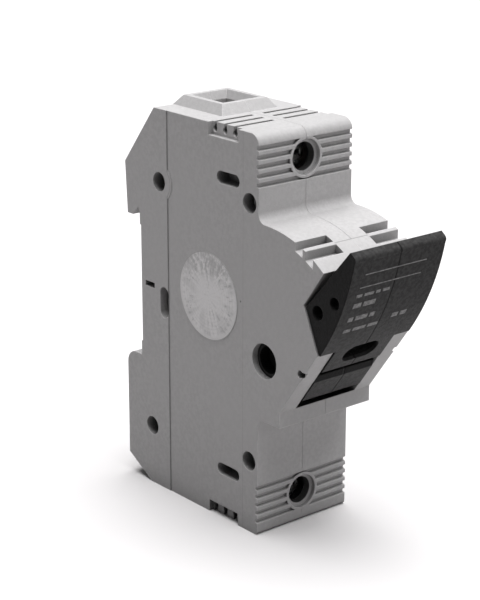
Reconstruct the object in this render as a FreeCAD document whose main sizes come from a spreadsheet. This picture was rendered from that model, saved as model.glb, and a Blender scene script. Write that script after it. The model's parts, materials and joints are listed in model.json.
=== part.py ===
import FreeCAD, Part
import math
import os

import Sketcher
from FreeCAD import Placement, Rotation, Vector

# Modular fuse disconnector for a 35 mm rail and a 14 x 51 mm fuse-link.
# X is the width, -Y is the front, +Z is up.
# The origin is the middle of the rail seat.

os.makedirs("parts", exist_ok=True)
doc = FreeCAD.newDocument("FuseDisconnector")
sheet = doc.addObject("Spreadsheet::Sheet", "Sizes")

# Driving dimensions in millimetres and degrees
SIZES = {
    # housing, overall
    "front_width": 26.9,
    "rear_step": 0.15,
    "step_line": -10.2,
    "top_level": 42.8,
    "bottom_level": -49.5,
    "block_front": -41.9,
    "top_rear": -5.5,
    "top_round": 2.6,
    "bottom_round": 0.8,
    "rear_edge": 5.8,
    "rear_chamfer_foot": 28.5,
    "foot_rear_edge": 6.1,
    "foot_chamfer_top": -44.5,
    "foot_chamfer_rear": -2.7,
    # seat for the rail and its two hooks
    "rail_height": 35.0,
    "rail_edge_room": 0.3,
    "pad_height": 0.44,
    "pad_length": 3.2,
    "upper_lip_drop": 1.3,
    "upper_groove_rise": 0.8,
    "groove_depth": 1.0,
    "lip_slope_end": 3.0,
    "upper_hook_edge": 5.1,
    "lower_hook_round": 3.2,
    # carrier pivot, swing frame and front window
    "pivot_depth": -44.04,
    "pivot_height": -7.1,
    "carrier_tilt": 35.9,
    "fuse_swing_room": 0.54,
    "shoulder_wall": 3.3,
    "strip_offset": 10.4,
    "ledge_level": -5.4,
    "ledge_bottom": -21.25,
    "ledge_fillet": 2.6,
    "notch_front": 0.75,
    "notch_up": 20.4,
    "notch_slope": 30.6,
    "carrier_clearance": 0.2,
    # housing walls
    "front_wall": 2.0,
    "roof_wall": 2.5,
    "floor_wall": 2.5,
    "throat_front": 6.5,
    "terminal_rear": -7.0,
    "terminal_floor": 30.2,
    "fuse_room_rear": -16.6,
    "core_rear_wall": 2.2,
    "core_front_wall": 2.0,
    "core_low": -28.0,
    "core_high": 16.0,
    "core_side_wall": 2.0,
    # rivets
    "rivet_shank": 1.55,
    "rivet_head": 2.05,
    "rivet_head_height": 0.8,
    "rivet_bore": 0.9,
    "rivet_sink": 3.2,
    "rivet_well": 2.25,
    "rivet_boss": 2.9,
    "boss_room": 0.5,
    "rivet_fit": 0.05,
    "rivet_front_depth": -38.97,
    "rivet_front_top": 27.4,
    "rivet_front_low": -32.3,
    "rivet_rear_top_depth": -7.15,
    "rivet_rear_top": 25.9,
    "rivet_rear_low_depth": -3.4,
    "rivet_rear_low": -34.75,
    "bulge_radius": 4.6,
    # side tunnels
    "tie_slot_middle": -31.7,
    "tie_slot_length": 7.8,
    "tie_slot_height": 2.8,
    "tie_slot_top": 31.3,
    "tie_slot_low": -37.35,
    "tie_slot_depth": 3.6,
    "tall_slot_depth_place": -8.6,
    "tall_slot_middle": -2.6,
    "tall_slot_width": 3.1,
    "tall_slot_length": 7.5,
    "small_slot_place": -3.15,
    "small_slot_middle": 0.6,
    "small_slot_width": 3.5,
    "small_slot_height": 1.3,
    "seal_hole_radius": 0.9,
    "seal_hole_inset": 1.1,
    "seal_hole_up": 7.2,
    "seal_channel_depth": 0.7,
    # ribs, screw bores and vent combs
    "rib_pitch": 2.0,
    "rib_count": 5,
    "rib_groove": 1.15,
    "rib_depth": 0.7,
    "top_rib_low": 31.2,
    "low_rib_low": -46.65,
    "screw_top": 36.05,
    "screw_low": -42.4,
    "bore_radius": 4.0,
    "bore_rim": 0.6,
    "bore_step": 1.0,
    "bore_length": 3.0,
    "driver_hole": 3.2,
    "comb_front": -35.2,
    "comb_rear": -24.8,
    "comb_height": 2.9,
    "comb_depth": 1.3,
    "vent_first": -32.6,
    "vent_pitch": 3.42,
    "vent_count": 3,
    "vent_width": 1.1,
    "vent_hole_radius": 0.75,
    "vent_hole_drop": 1.55,
    "vent_inner_end": 1.5,
    # shoulder slots
    "slot_inner_end": 4.8,
    "slot_width": 2.4,
    "slot_ridge": 0.85,
    "slot_first": -53.7,
    "slot_depth": 1.8,
    # wire funnels
    "funnel_height": 2.3,
    "funnel_rear": -5.4,
    "funnel_front": -23.1,
    "funnel_half": 8.1,
    "funnel_rear_slope": 1.9,
    "funnel_front_slope": 1.9,
    "funnel_side_slope": 1.7,
    "funnel_rim": 1.1,
    "funnel_mouth_depth": 1.9,
    "wire_half": 4.2,
    "wire_rear": -9.5,
    "wire_front": -18.7,
    # carrier
    "cheek_inset": 0.3,
    "cheek_thickness": 3.65,
    "sleeve_side_wall": 1.35,
    "handle_front": 10.7,
    "handle_radius": 58.0,
    "handle_wall": 1.8,
    "handle_top": 39.0,
    "lip_round": 1.0,
    "lip_flat": 1.3,
    "cheek_back_gap": 0.6,
    "cheek_rise": 0.52,
    "handle_low": 7.8,
    "shelf_thickness": 1.5,
    "panel_front": 10.6,
    "panel_top": 5.4,
    "panel_low": -2.6,
    "panel_chamfer": 0.65,
    "panel_chamfer_drop": 1.5,
    "gap_floor": 7.2,
    "sleeve_back": -10.2,
    "sleeve_half_length": 9.0,
    "sleeve_toe": 8.2,
    "hub_radius": 3.97,
    "hub_fit": 0.08,
    "hub_recess": 1.5,
    "hub_hole_radius": 3.2,
    "hub_hole_depth": 2.9,
    "oval_up": 12.5,
    "oval_half_length": 4.95,
    "oval_half_height": 2.6,
    "tie_hole_radius": 1.6,
    "tie_hole_front": 4.5,
    "tie_hole_up": 22.2,
    "pin_hole_radius": 1.4,
    "pin_hole_front": 6.7,
    "pin_hole_up": 27.8,
    # fuse-link
    "fuse_length": 51.0,
    "fuse_radius": 7.15,
    "fuse_axis_front": -1.3,
    "fuse_fit": 0.1,
    "cap_length": 13.8,
    "cap_wall": 0.5,
    "cap_fit": 0.02,
    "ring_length": 9.0,
    "ring_gap": 5.0,
    # contacts
    "bar_thickness": 1.5,
    "bar_half": 5.0,
    "bar_rear": -19.0,
    "upper_bar_level": 12.75,
    "lower_bar_level": -33.75,
    "bar_end_room": 0.6,
    "jaw_near": 17.6,
    "jaw_width": 6.4,
    "jaw_thickness": 1.0,
    "jaw_fit": 0.05,
    "jaw_grip": 3.0,
    "bow_thickness": 0.4,
    "bow_width": 3.6,
    "bow_fit": 0.02,
    # clamp cages and screws
    "cage_half": 6.7,
    "cage_wall": 1.5,
    "cage_front_wall": 3.0,
    "cage_half_height": 3.8,
    "cage_rear": -8.0,
    "cage_front": -25.0,
    "screw_radius": 3.0,
    "screw_fit": 0.05,
    "screw_head": 3.8,
    "screw_head_height": 3.5,
    "screw_head_room": 2.0,
    "screw_tip_room": 0.1,
    "driver_slot": 1.1,
    "driver_depth": 2.0,
    "driver_span": 2.6,
    # rail clip
    "clip_half": 5.5,
    "clip_thickness": 3.0,
    "clip_rail_room": 1.2,
    "clip_room": 0.3,
    "clip_overlap": 1.2,
    "clip_bottom": -48.6,
    "clip_nose_slope": 1.4,
    "clip_window_top": -28.5,
    "clip_window_low": -40.5,
    "clip_window_half": 1.9,
    "clip_slot_low": -47.6,
    "clip_slot_height": 1.3,
    "clip_slot_half": 2.2,
    "peg_height": 1.5,
    "spring_radius": 1.2,
    "spring_wire": 0.22,
    "spring_turns": 6,
    "spring_sides": 4,
    # round label
    "label_radius": 10.2,
    "label_depth_place": -24.7,
    "label_middle": 3.05,
    "label_thickness": 0.12,
    # depth by which a cutting outline passes a face
    "overshoot": 1.0,
}


class Size:
    """A number of the model with the sheet formula that gives it."""

    def __init__(self, value, formula):
        self.value = value
        self.formula = formula

    def __add__(self, other):
        other = as_size(other)
        return Size(self.value + other.value, f"({self.formula} + {other.formula})")

    def __sub__(self, other):
        other = as_size(other)
        return Size(self.value - other.value, f"({self.formula} - {other.formula})")

    def __mul__(self, other):
        other = as_size(other)
        return Size(self.value * other.value, f"({self.formula} * {other.formula})")

    def __truediv__(self, other):
        other = as_size(other)
        return Size(self.value / other.value, f"({self.formula} / {other.formula})")

    def __neg__(self):
        return Size(-self.value, f"(0 - {self.formula})")


def as_size(number):
    """Take a Size as it is and wrap a plain number."""
    if isinstance(number, Size):
        return number
    return Size(float(number), f"({float(number)})")


def root(size):
    return Size(math.sqrt(size.value), f"sqrt({size.formula})")


def cosine(angle):
    return Size(math.cos(math.radians(angle.value)), f"cos({angle.formula} * 1 deg)")


def sine(angle):
    return Size(math.sin(math.radians(angle.value)), f"sin({angle.formula} * 1 deg)")


class Names:
    """Holds every sheet size under its own name."""


s = Names()
for row, (alias, number) in enumerate(SIZES.items(), start=1):
    sheet.set(f"A{row}", alias)
    sheet.set(f"B{row}", str(number))
    sheet.setAlias(f"B{row}", alias)
    setattr(s, alias, Size(float(number), f"Sizes.{alias}"))
doc.recompute()

ZERO = as_size(0)
cos_tilt = cosine(s.carrier_tilt)
sin_tilt = sine(s.carrier_tilt)


# Swing frame: front is the distance before the pivot, up runs along the fuse-link
def swing(front, up):
    """Depth and height of a point given in the swing frame."""
    front, up = as_size(front), as_size(up)
    depth = s.pivot_depth - front * cos_tilt - up * sin_tilt
    height = s.pivot_height - front * sin_tilt + up * cos_tilt
    return depth, height


def in_swing(depth, height):
    """Sketch coordinates in the swing frame of a point of the housing."""
    along = depth - s.pivot_depth
    rise = height - s.pivot_height
    return along * cos_tilt + rise * sin_tilt, rise * cos_tilt - along * sin_tilt


def up_at_height(front, height):
    """Place along the swing frame where a face meets a level of the housing."""
    return (height - s.pivot_height + front * sin_tilt) / cos_tilt


def up_at_depth(front, depth):
    """Place along the swing frame where a face meets a depth of the housing."""
    return (s.pivot_depth - front * cos_tilt - depth) / sin_tilt


# Sketch and feature helpers
def new_body(label):
    body = doc.addObject("PartDesign::Body", label)
    body.Label = label
    return body


def place_on_pivot(body, front=ZERO):
    """Stand a body in the swing frame, in front of or behind the pivot axis."""
    depth, height = swing(front, ZERO)
    tilt = Rotation(Vector(1, 0, 0), s.carrier_tilt.value)
    body.Placement = Placement(Vector(0, depth.value, height.value), tilt)
    body.setExpression("Placement.Base.y", depth.formula)
    body.setExpression("Placement.Base.z", height.formula)
    body.setExpression("Placement.Rotation.Angle", f"{s.carrier_tilt.formula} * 1 deg")


def new_sketch(body, role, name, offset=None):
    """Sketch on an origin plane of the body, moved along the plane's normal."""
    plane = next(item for item in body.Origin.OriginFeatures if item.Role == role)
    sketch = body.newObject("Sketcher::SketchObject", name)
    sketch.AttachmentSupport = [(plane, "")]
    sketch.MapMode = "FlatFace"
    if offset is not None:
        sketch.setExpression("AttachmentOffset.Base.z", offset.formula)
    return sketch


def pin(sketch, number, spot, point):
    """Tie a sketch point to the sheet in both directions."""
    for kind, axis, coordinate in zip(("DistanceX", "DistanceY"), (-2, -1), point):
        if coordinate is ZERO:
            sketch.addConstraint(Sketcher.Constraint("PointOnObject", number, spot, axis))
            continue
        tie = Sketcher.Constraint(kind, -1, 1, number, spot, coordinate.value)
        found = sketch.addConstraint(tie)
        sketch.setExpression(f"Constraints[{found}]", coordinate.formula)


def set_radius(sketch, number, radius):
    found = sketch.addConstraint(Sketcher.Constraint("Radius", number, radius.value))
    sketch.setExpression(f"Constraints[{found}]", radius.formula)


def arc_between(start, end, radius, turn):
    """Arc shorter than a half turn: turn is 1 counterclockwise and -1 clockwise."""
    chord = end - start
    rise = math.sqrt(max(radius ** 2 - chord.Length ** 2 / 4, 0))
    normal = Vector(-chord.y, chord.x, 0).normalize()
    centre = (start + end) / 2 + normal * rise * turn
    first, last = (start, end) if turn > 0 else (end, start)
    angles = [math.atan2(spot.y - centre.y, spot.x - centre.x) for spot in (first, last)]
    circle = Part.Circle(centre, Vector(0, 0, 1), radius)
    return Part.ArcOfCircle(circle, angles[0], angles[1])


def outline(sketch, points, arcs=None):
    """Closed outline. arcs maps a point's index to the radius and turn after it."""
    arcs = arcs or {}
    points = [(as_size(a), as_size(b)) for a, b in points]
    spots = [Vector(a.value, b.value, 0) for a, b in points]
    ends = []
    for index, start in enumerate(spots):
        end = spots[(index + 1) % len(spots)]
        if index in arcs:
            radius, turn = arcs[index]
            number = sketch.addGeometry(arc_between(start, end, radius.value, turn))
            ends.append((number, 1, 2) if turn > 0 else (number, 2, 1))
        else:
            number = sketch.addGeometry(Part.LineSegment(start, end))
            ends.append((number, 1, 2))
    for index, (number, _, last) in enumerate(ends):
        after, first, _ = ends[(index + 1) % len(ends)]
        sketch.addConstraint(Sketcher.Constraint("Coincident", number, last, after, first))
    for index, (number, first, _) in enumerate(ends):
        pin(sketch, number, first, points[index])
        if index in arcs:
            set_radius(sketch, number, arcs[index][0])


def rectangle(sketch, left, right, low, high):
    outline(sketch, [(left, low), (right, low), (right, high), (left, high)])


def circle(sketch, centre, radius):
    spot = Vector(centre[0].value, centre[1].value, 0)
    number = sketch.addGeometry(Part.Circle(spot, Vector(0, 0, 1), radius.value))
    pin(sketch, number, 3, centre)
    set_radius(sketch, number, radius)


def stadium(sketch, middle, half_length, radius, upright=False):
    """Slot with round ends, four quarter arcs and two straight sides."""
    a, b = middle
    reach = half_length - radius
    corners = [(-reach, radius), (reach, radius), (half_length, ZERO),
               (reach, -radius), (-reach, -radius), (-half_length, ZERO)]
    if upright:
        corners = [(-v, u) for u, v in corners]
        turn = -1
    else:
        turn = -1
    points = [(a + u, b + v) for u, v in corners]
    outline(sketch, points, {index: (radius, turn) for index in (1, 2, 4, 5)})


def pad(body, sketch, length, reverse=False, both=False):
    feature = body.newObject("PartDesign::Pad", sketch.Name + "_pad")
    feature.Profile = sketch
    feature.setExpression("Length", length.formula)
    feature.Reversed = reverse
    feature.Midplane = both
    return feature


def pocket(body, sketch, length, reverse=False, both=False):
    feature = body.newObject("PartDesign::Pocket", sketch.Name + "_pocket")
    feature.Profile = sketch
    feature.setExpression("Length", length.formula)
    feature.Reversed = reverse
    feature.Midplane = both
    return feature


def repeat(body, feature, sketch, axis, pitch, count):
    """Row of copies of a feature along one axis of its sketch."""
    row_of = body.newObject("PartDesign::LinearPattern", feature.Name + "_row")
    row_of.Originals = [feature]
    row_of.Direction = (sketch, [axis])
    row_of.Mode = "Spacing"
    row_of.setExpression("Offset", pitch.formula)
    row_of.setExpression("Occurrences", count.formula)
    body.Tip = row_of
    return row_of


def revolve(body, sketch, axis):
    feature = body.newObject("PartDesign::Revolution", sketch.Name + "_turned")
    feature.Profile = sketch
    feature.ReferenceAxis = (sketch, [axis])
    feature.Angle = 360
    return feature


def mirror_copy(source, label):
    """The other hand of a moulded half, mirrored on the middle plane."""
    copy = doc.addObject("Part::Mirroring", label)
    copy.Label = label
    copy.Source = source
    copy.Base = Vector(0, 0, 0)
    copy.Normal = Vector(1, 0, 0)
    return copy


def box_piece(name, x_range, y_range, z_range):
    """Plain block between two planes on each axis."""
    block = doc.addObject("Part::Box", name)
    spans = zip(("Length", "Width", "Height"), ("x", "y", "z"), (x_range, y_range, z_range))
    for side, axis, (low, high) in spans:
        low, high = as_size(low), as_size(high)
        block.setExpression(side, (high - low).formula)
        block.setExpression(f"Placement.Base.{axis}", low.formula)
    return block


def rod_piece(name, radius, length, direction, x, y, z):
    """Round rod from a point along one axis."""
    rod = doc.addObject("Part::Cylinder", name)
    turn = Rotation(Vector(0, 0, 1), direction)
    rod.Placement = Placement(Vector(0, 0, 0), turn)
    rod.setExpression("Radius", radius.formula)
    rod.setExpression("Height", length.formula)
    for axis, value in zip("xyz", (x, y, z)):
        rod.setExpression(f"Placement.Base.{axis}", as_size(value).formula)
    return rod


def joined(name, pieces):
    union = doc.addObject("Part::MultiFuse", name)
    union.Shapes = pieces
    union.Refine = True
    return union


def cut_from(name, base, tool):
    cut = doc.addObject("Part::Cut", name)
    cut.Base = base
    cut.Tool = tool
    cut.Refine = True
    return cut


# Places shared by the housing and the pieces in it
front_half = s.front_width / 2
rear_half = front_half + s.rear_step
seat_top = s.rail_height / 2
lower_hook_level = -(s.rail_height / 2 + s.rail_edge_room)
fuse_back = s.fuse_radius - s.fuse_axis_front
fuse_half = s.fuse_length / 2
swing_room = root(fuse_back * fuse_back + fuse_half * fuse_half) + s.fuse_swing_room
shoulder_radius = swing_room + s.shoulder_wall
shoulder_top = s.pivot_height + shoulder_radius
shoulder_fillet = s.block_front - s.pivot_depth
inner_front = s.block_front + s.front_wall
inner_roof = s.top_level - s.roof_wall
inner_floor = s.bottom_level + s.floor_wall
carrier_half = s.fuse_radius + s.fuse_fit + s.sleeve_side_wall
chamber_half = carrier_half + s.carrier_clearance
cheek_half = front_half - s.cheek_inset
cheek_inner_half = cheek_half - s.cheek_thickness
clip_front = s.pad_height + s.clip_rail_room
boss_reach = s.rivet_boss + s.boss_room
slope = sine(s.notch_slope) / cosine(s.notch_slope)
strip_top = s.notch_up - (s.strip_offset - s.notch_front) * slope
ledge_corner = swing(s.strip_offset, s.ledge_level)
ledge_radius = root(s.strip_offset * s.strip_offset + s.ledge_level * s.ledge_level)
pivot = (s.pivot_depth, s.pivot_height)
bore_in_wall = s.hub_radius + s.hub_fit


# Left half of the housing
def housing_outline(sketch):
    """Side view of the housing, clockwise from the rounded top front edge."""
    notch_end = root(shoulder_radius * shoulder_radius - s.notch_front * s.notch_front)
    points = [
        (s.block_front + s.top_round, s.top_level),
        (s.top_rear, s.top_level),
        (s.rear_edge, s.rear_chamfer_foot),
        (s.upper_hook_edge, seat_top - s.upper_lip_drop),
        (s.lip_slope_end, seat_top - s.upper_lip_drop),
        (s.groove_depth, seat_top + s.upper_groove_rise),
        (s.pad_height, seat_top),
        (s.pad_height, seat_top - s.pad_length),
        (ZERO, seat_top - s.pad_length),
        (ZERO, s.pad_length - seat_top),
        (s.pad_height, s.pad_length - seat_top),
        (s.pad_height, lower_hook_level),
        (s.foot_rear_edge - s.lower_hook_round, lower_hook_level),
        (s.foot_rear_edge, lower_hook_level - s.lower_hook_round),
        (s.foot_rear_edge, s.foot_chamfer_top),
        (s.foot_chamfer_rear, s.bottom_level),
        (s.block_front + s.bottom_round, s.bottom_level),
        (s.block_front, s.bottom_level + s.bottom_round),
        (s.block_front, s.ledge_bottom - s.ledge_fillet),
        (s.block_front - s.ledge_fillet, s.ledge_bottom),
        (ledge_corner[0], s.ledge_bottom),
        ledge_corner,
        swing(s.strip_offset, strip_top),
        swing(s.notch_front, s.notch_up),
        swing(s.notch_front, notch_end),
        (s.pivot_depth, shoulder_top),
        (s.block_front, shoulder_top + shoulder_fillet),
        (s.block_front, s.top_level - s.top_round),
    ]
    arcs = {
        12: (s.lower_hook_round, -1),
        16: (s.bottom_round, -1),
        18: (s.ledge_fillet, 1),
        24: (shoulder_radius, -1),
        25: (shoulder_fillet, 1),
        27: (s.top_round, -1),
    }
    outline(sketch, points, arcs)


def chamber_outline(sketch):
    """Hollow for the terminals, the fuse-link and the swinging carrier."""
    far = s.strip_offset * 2
    throat_up = -root(ledge_radius * ledge_radius - s.throat_front * s.throat_front)
    roof_end = root(swing_room * swing_room - s.notch_front * s.notch_front)
    boss_rear = s.rivet_front_depth + boss_reach
    boss_run = boss_rear - s.pivot_depth
    rear_boss_front = s.rivet_rear_top_depth - boss_reach
    points = [
        (inner_front, inner_roof),
        (s.terminal_rear, inner_roof),
        (s.terminal_rear, s.terminal_floor),
        (rear_boss_front, s.terminal_floor),
        (rear_boss_front, s.rivet_rear_top),
        (s.fuse_room_rear, s.rivet_rear_top - s.rivet_boss * 2),
        (s.fuse_room_rear, s.core_low - s.core_front_wall),
        (s.terminal_rear, s.rivet_rear_low - s.rivet_boss),
        (s.terminal_rear, inner_floor),
        (inner_front, inner_floor),
        swing(s.throat_front, up_at_depth(s.throat_front, inner_front)),
        swing(s.throat_front, throat_up),
        ledge_corner,
        swing(far, s.ledge_level),
        swing(far, roof_end),
        swing(s.notch_front, roof_end),
        (boss_rear, s.pivot_height + root(swing_room * swing_room - boss_run * boss_run)),
        (boss_rear, s.rivet_front_top + boss_reach),
        (inner_front, s.rivet_front_top + boss_reach),
    ]
    outline(sketch, points, {11: (ledge_radius, -1), 15: (swing_room, -1)})


def side_cut(body, name, inner, draw):
    """Pocket in the side face, from an inner plane outwards."""
    sketch = new_sketch(body, "YZ_Plane", name, -inner)
    draw(sketch)
    return pocket(body, sketch, rear_half - inner + s.overshoot)


def cut_front_step(body):
    """The front part is lower than the rear, with a bulge round the upper rear rivet."""
    reach = s.top_level - s.bottom_level
    bulge_run = s.rivet_rear_top_depth - s.step_line
    bulge_rise = root(s.bulge_radius * s.bulge_radius - bulge_run * bulge_run)
    bulge_nose = s.rivet_rear_top_depth - s.bulge_radius
    sketch = new_sketch(body, "YZ_Plane", "front_step", -front_half)
    points = [
        (s.step_line, s.top_level + s.overshoot),
        (s.step_line, s.rivet_rear_top + bulge_rise),
        (bulge_nose, s.rivet_rear_top),
        (s.step_line, s.rivet_rear_top - bulge_rise),
        (s.step_line, s.bottom_level - s.overshoot),
        (s.pivot_depth - reach, s.bottom_level - s.overshoot),
        (s.pivot_depth - reach, s.top_level + s.overshoot),
    ]
    outline(sketch, points, {1: (s.bulge_radius, 1), 2: (s.bulge_radius, 1)})
    return pocket(body, sketch, s.rear_step + s.overshoot)


def cut_rivet_well(body, name, depth, height):
    """Through hole for one rivet with a wide well at the side face."""
    sketch = new_sketch(body, "YZ_Plane", name + "_hole")
    circle(sketch, (depth, height), s.rivet_shank + s.rivet_fit)
    pocket(body, sketch, rear_half + s.overshoot)
    side_cut(body, name + "_well", front_half - s.rivet_sink,
             lambda well: circle(well, (depth, height), s.rivet_well))


def cut_vents(body, name, side, level):
    """Comb recess and its row of keyhole vents. side is 1 at the top, -1 below."""
    recess = sorted([level - s.comb_height * side, level + s.overshoot * side],
                    key=lambda size: size.value)
    side_cut(body, name + "_recess", front_half - s.comb_depth,
             lambda sketch: rectangle(sketch, s.comb_front, s.comb_rear, recess[0], recess[1]))
    hole_level = level - s.vent_hole_drop * side
    half = s.vent_width / 2
    rise = root(s.vent_hole_radius * s.vent_hole_radius - half * half)
    sketch = new_sketch(body, "YZ_Plane", name + "_vent", -s.vent_inner_end)
    points = [
        (s.vent_first - half, hole_level + rise * side),
        (s.vent_first - half, level + s.overshoot * side),
        (s.vent_first + half, level + s.overshoot * side),
        (s.vent_first + half, hole_level + rise * side),
        (s.vent_first + s.vent_hole_radius, hole_level),
        (s.vent_first, hole_level - s.vent_hole_radius * side),
        (s.vent_first - s.vent_hole_radius, hole_level),
    ]
    arcs = {index: (s.vent_hole_radius, -side) for index in (3, 4, 5, 6)}
    outline(sketch, points, arcs)
    vent = pocket(body, sketch, rear_half)
    repeat(body, vent, sketch, "H_Axis", s.vent_pitch, s.vent_count)


def cut_ribs(body, name, low):
    """Row of grip grooves across the front of a terminal block."""
    sketch = new_sketch(body, "YZ_Plane", name)
    points = [
        (s.block_front - s.overshoot, low),
        (s.block_front - s.overshoot, low + s.rib_groove),
        (s.block_front, low + s.rib_groove),
        (s.block_front + s.rib_depth, low + s.rib_groove * 0.8),
        (s.block_front + s.rib_depth, low + s.rib_groove * 0.2),
        (s.block_front, low),
    ]
    outline(sketch, points)
    groove = pocket(body, sketch, rear_half + s.overshoot)
    repeat(body, groove, sketch, "V_Axis", s.rib_pitch, s.rib_count)


def add_screw_bore(body, name, height):
    """Plain ring between the grooves and the bore that leads to the screw head."""
    ring = s.bore_radius + s.bore_rim
    rim = new_sketch(body, "XZ_Plane", name + "_ring", -s.block_front)
    points = [(ZERO, height - ring), (ZERO, height + ring), (-ring, height)]
    outline(rim, points, {1: (ring, 1), 2: (ring, 1)})
    pad(body, rim, s.bore_length, reverse=True)
    for end, radius, depth in (("_bore", s.bore_radius, s.bore_step),
                               ("_driver_hole", s.driver_hole, s.bore_length)):
        hole = new_sketch(body, "XZ_Plane", name + end, -s.block_front + s.overshoot)
        circle(hole, (ZERO, height), radius)
        pocket(body, hole, depth + s.overshoot)


def cut_shoulder_slot(body, name, rear):
    """Blind slot in the shoulder whose floor follows the shoulder's curve."""
    floor_radius = shoulder_radius - s.slot_depth
    front = rear - s.slot_width
    floors = []
    for edge in (rear, front):
        run = edge - s.pivot_depth
        floors.append(s.pivot_height + root(floor_radius * floor_radius - run * run))
    sketch = new_sketch(body, "YZ_Plane", name, -s.slot_inner_end)
    points = [(rear, shoulder_top + s.overshoot), (rear, floors[0]),
              (front, floors[1]), (front, shoulder_top + s.overshoot)]
    outline(sketch, points)
    pocket(body, sketch, rear_half)


def loft_between(body, kind, name, sections):
    """Loft through rectangles, each given by its level and four sides."""
    sketches = []
    for index, (level, left, right, front, rear) in enumerate(sections):
        sketch = new_sketch(body, "XY_Plane", f"{name}_{index}", level)
        rectangle(sketch, left, right, front, rear)
        sketches.append(sketch)
    feature = body.newObject(kind, name)
    feature.Profile = sketches[0]
    feature.Sections = sketches[1:]
    feature.Ruled = True
    return feature


def add_wire_entries(body):
    """Raised funnel on the roof and a flush one in the floor, both for the wires."""
    rim_half = s.funnel_half - s.funnel_side_slope
    rim_rear = s.funnel_rear - s.funnel_rear_slope
    rim_front = s.funnel_front + s.funnel_front_slope
    rim_level = s.top_level + s.funnel_height
    mouth_half = rim_half - s.funnel_rim
    mouth_rear = rim_rear - s.funnel_rim
    mouth_front = rim_front + s.funnel_rim
    loft_between(body, "PartDesign::AdditiveLoft", "funnel", [
        (s.top_level, -s.funnel_half, ZERO, s.funnel_front, s.funnel_rear),
        (rim_level, -rim_half, ZERO, rim_front, rim_rear),
    ])
    for name, mouth_level, neck_level, end_level in (
        ("upper_mouth", rim_level, rim_level - s.funnel_mouth_depth,
         inner_roof - s.overshoot / 10),
        ("lower_mouth", s.bottom_level, s.bottom_level + s.funnel_mouth_depth,
         inner_floor + s.overshoot / 10),
    ):
        loft_between(body, "PartDesign::SubtractiveLoft", name, [
            (mouth_level, -mouth_half, ZERO, mouth_front, mouth_rear),
            (neck_level, -s.wire_half, ZERO, s.wire_front, s.wire_rear),
            (end_level, -s.wire_half, ZERO, s.wire_front, s.wire_rear),
        ])


def cut_clip_channel(body):
    """Channel for the sliding rail clip and the peg that backs its spring."""
    channel_front = clip_front - s.clip_room
    channel_rear = clip_front + s.clip_thickness + s.clip_room
    sketch = new_sketch(body, "YZ_Plane", "clip_channel")
    rectangle(sketch, channel_front, channel_rear, s.bottom_level - s.overshoot,
              lower_hook_level + s.overshoot)
    pocket(body, sketch, s.clip_half + s.clip_room)
    peg_low = s.clip_window_low + s.clip_room
    sketch = new_sketch(body, "YZ_Plane", "clip_peg")
    rectangle(sketch, channel_front, channel_rear, peg_low, peg_low + s.peg_height)
    pad(body, sketch, s.clip_window_half - s.clip_room, reverse=True)


def left_shell():
    body = new_body("left_shell")
    sketch = new_sketch(body, "YZ_Plane", "housing_side")
    housing_outline(sketch)
    pad(body, sketch, rear_half, reverse=True)
    cut_front_step(body)
    sketch = new_sketch(body, "YZ_Plane", "chamber")
    chamber_outline(sketch)
    pocket(body, sketch, chamber_half)
    sketch = new_sketch(body, "YZ_Plane", "rear_core")
    rectangle(sketch, s.fuse_room_rear + s.core_front_wall, -s.core_rear_wall,
              s.core_low, s.core_high)
    pocket(body, sketch, front_half - s.core_side_wall)
    sketch = new_sketch(body, "YZ_Plane", "low_boss")
    circle(sketch, (s.rivet_front_depth, s.rivet_front_low), s.rivet_boss)
    pad(body, sketch, chamber_half + s.overshoot, reverse=True)
    sketch = new_sketch(body, "YZ_Plane", "hub_bore")
    circle(sketch, pivot, bore_in_wall)
    pocket(body, sketch, rear_half + s.overshoot)
    for name, depth, height in rivet_places():
        cut_rivet_well(body, name, depth, height)
    half_tie = s.tie_slot_length / 2
    for name, height in (("tie_slot_upper", s.tie_slot_top), ("tie_slot_lower", s.tie_slot_low)):
        side_cut(body, name, front_half - s.tie_slot_depth,
                 lambda slot: stadium(slot, (s.tie_slot_middle, height), half_tie,
                                      s.tie_slot_height / 2))
    side_cut(body, "tall_slot", front_half - s.core_side_wall - s.rear_step,
             lambda slot: stadium(slot, (s.tall_slot_depth_place, s.tall_slot_middle),
                                  s.tall_slot_length / 2, s.tall_slot_width / 2, upright=True))
    half_width = s.small_slot_width / 2
    half_height = s.small_slot_height / 2
    side_cut(body, "small_slot", front_half - s.core_side_wall - s.rear_step,
             lambda slot: rectangle(slot, s.small_slot_place - half_width,
                                    s.small_slot_place + half_width,
                                    s.small_slot_middle - half_height,
                                    s.small_slot_middle + half_height))
    seal = swing(s.strip_offset - s.seal_hole_inset, s.seal_hole_up)
    side_cut(body, "seal_hole", chamber_half - s.overshoot,
             lambda hole: circle(hole, seal, s.seal_hole_radius))
    side_cut(body, "seal_channel", front_half - s.seal_channel_depth,
             lambda channel: rectangle(channel, seal[0] - s.seal_hole_inset * 2, seal[0],
                                       seal[1] - s.seal_hole_radius * 0.7, seal[1] + s.seal_hole_radius * 0.7))
    cut_vents(body, "upper_comb", 1, s.top_level)
    cut_vents(body, "lower_comb", -1, s.bottom_level)
    cut_ribs(body, "upper_ribs", s.top_rib_low)
    cut_ribs(body, "lower_ribs", s.low_rib_low)
    add_screw_bore(body, "upper_screw", s.screw_top)
    add_screw_bore(body, "lower_screw", s.screw_low)
    cut_shoulder_slot(body, "shoulder_slot_rear", s.slot_first)
    cut_shoulder_slot(body, "shoulder_slot_front", s.slot_first - s.slot_width - s.slot_ridge)
    add_wire_entries(body)
    cut_clip_channel(body)
    return body


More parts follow.
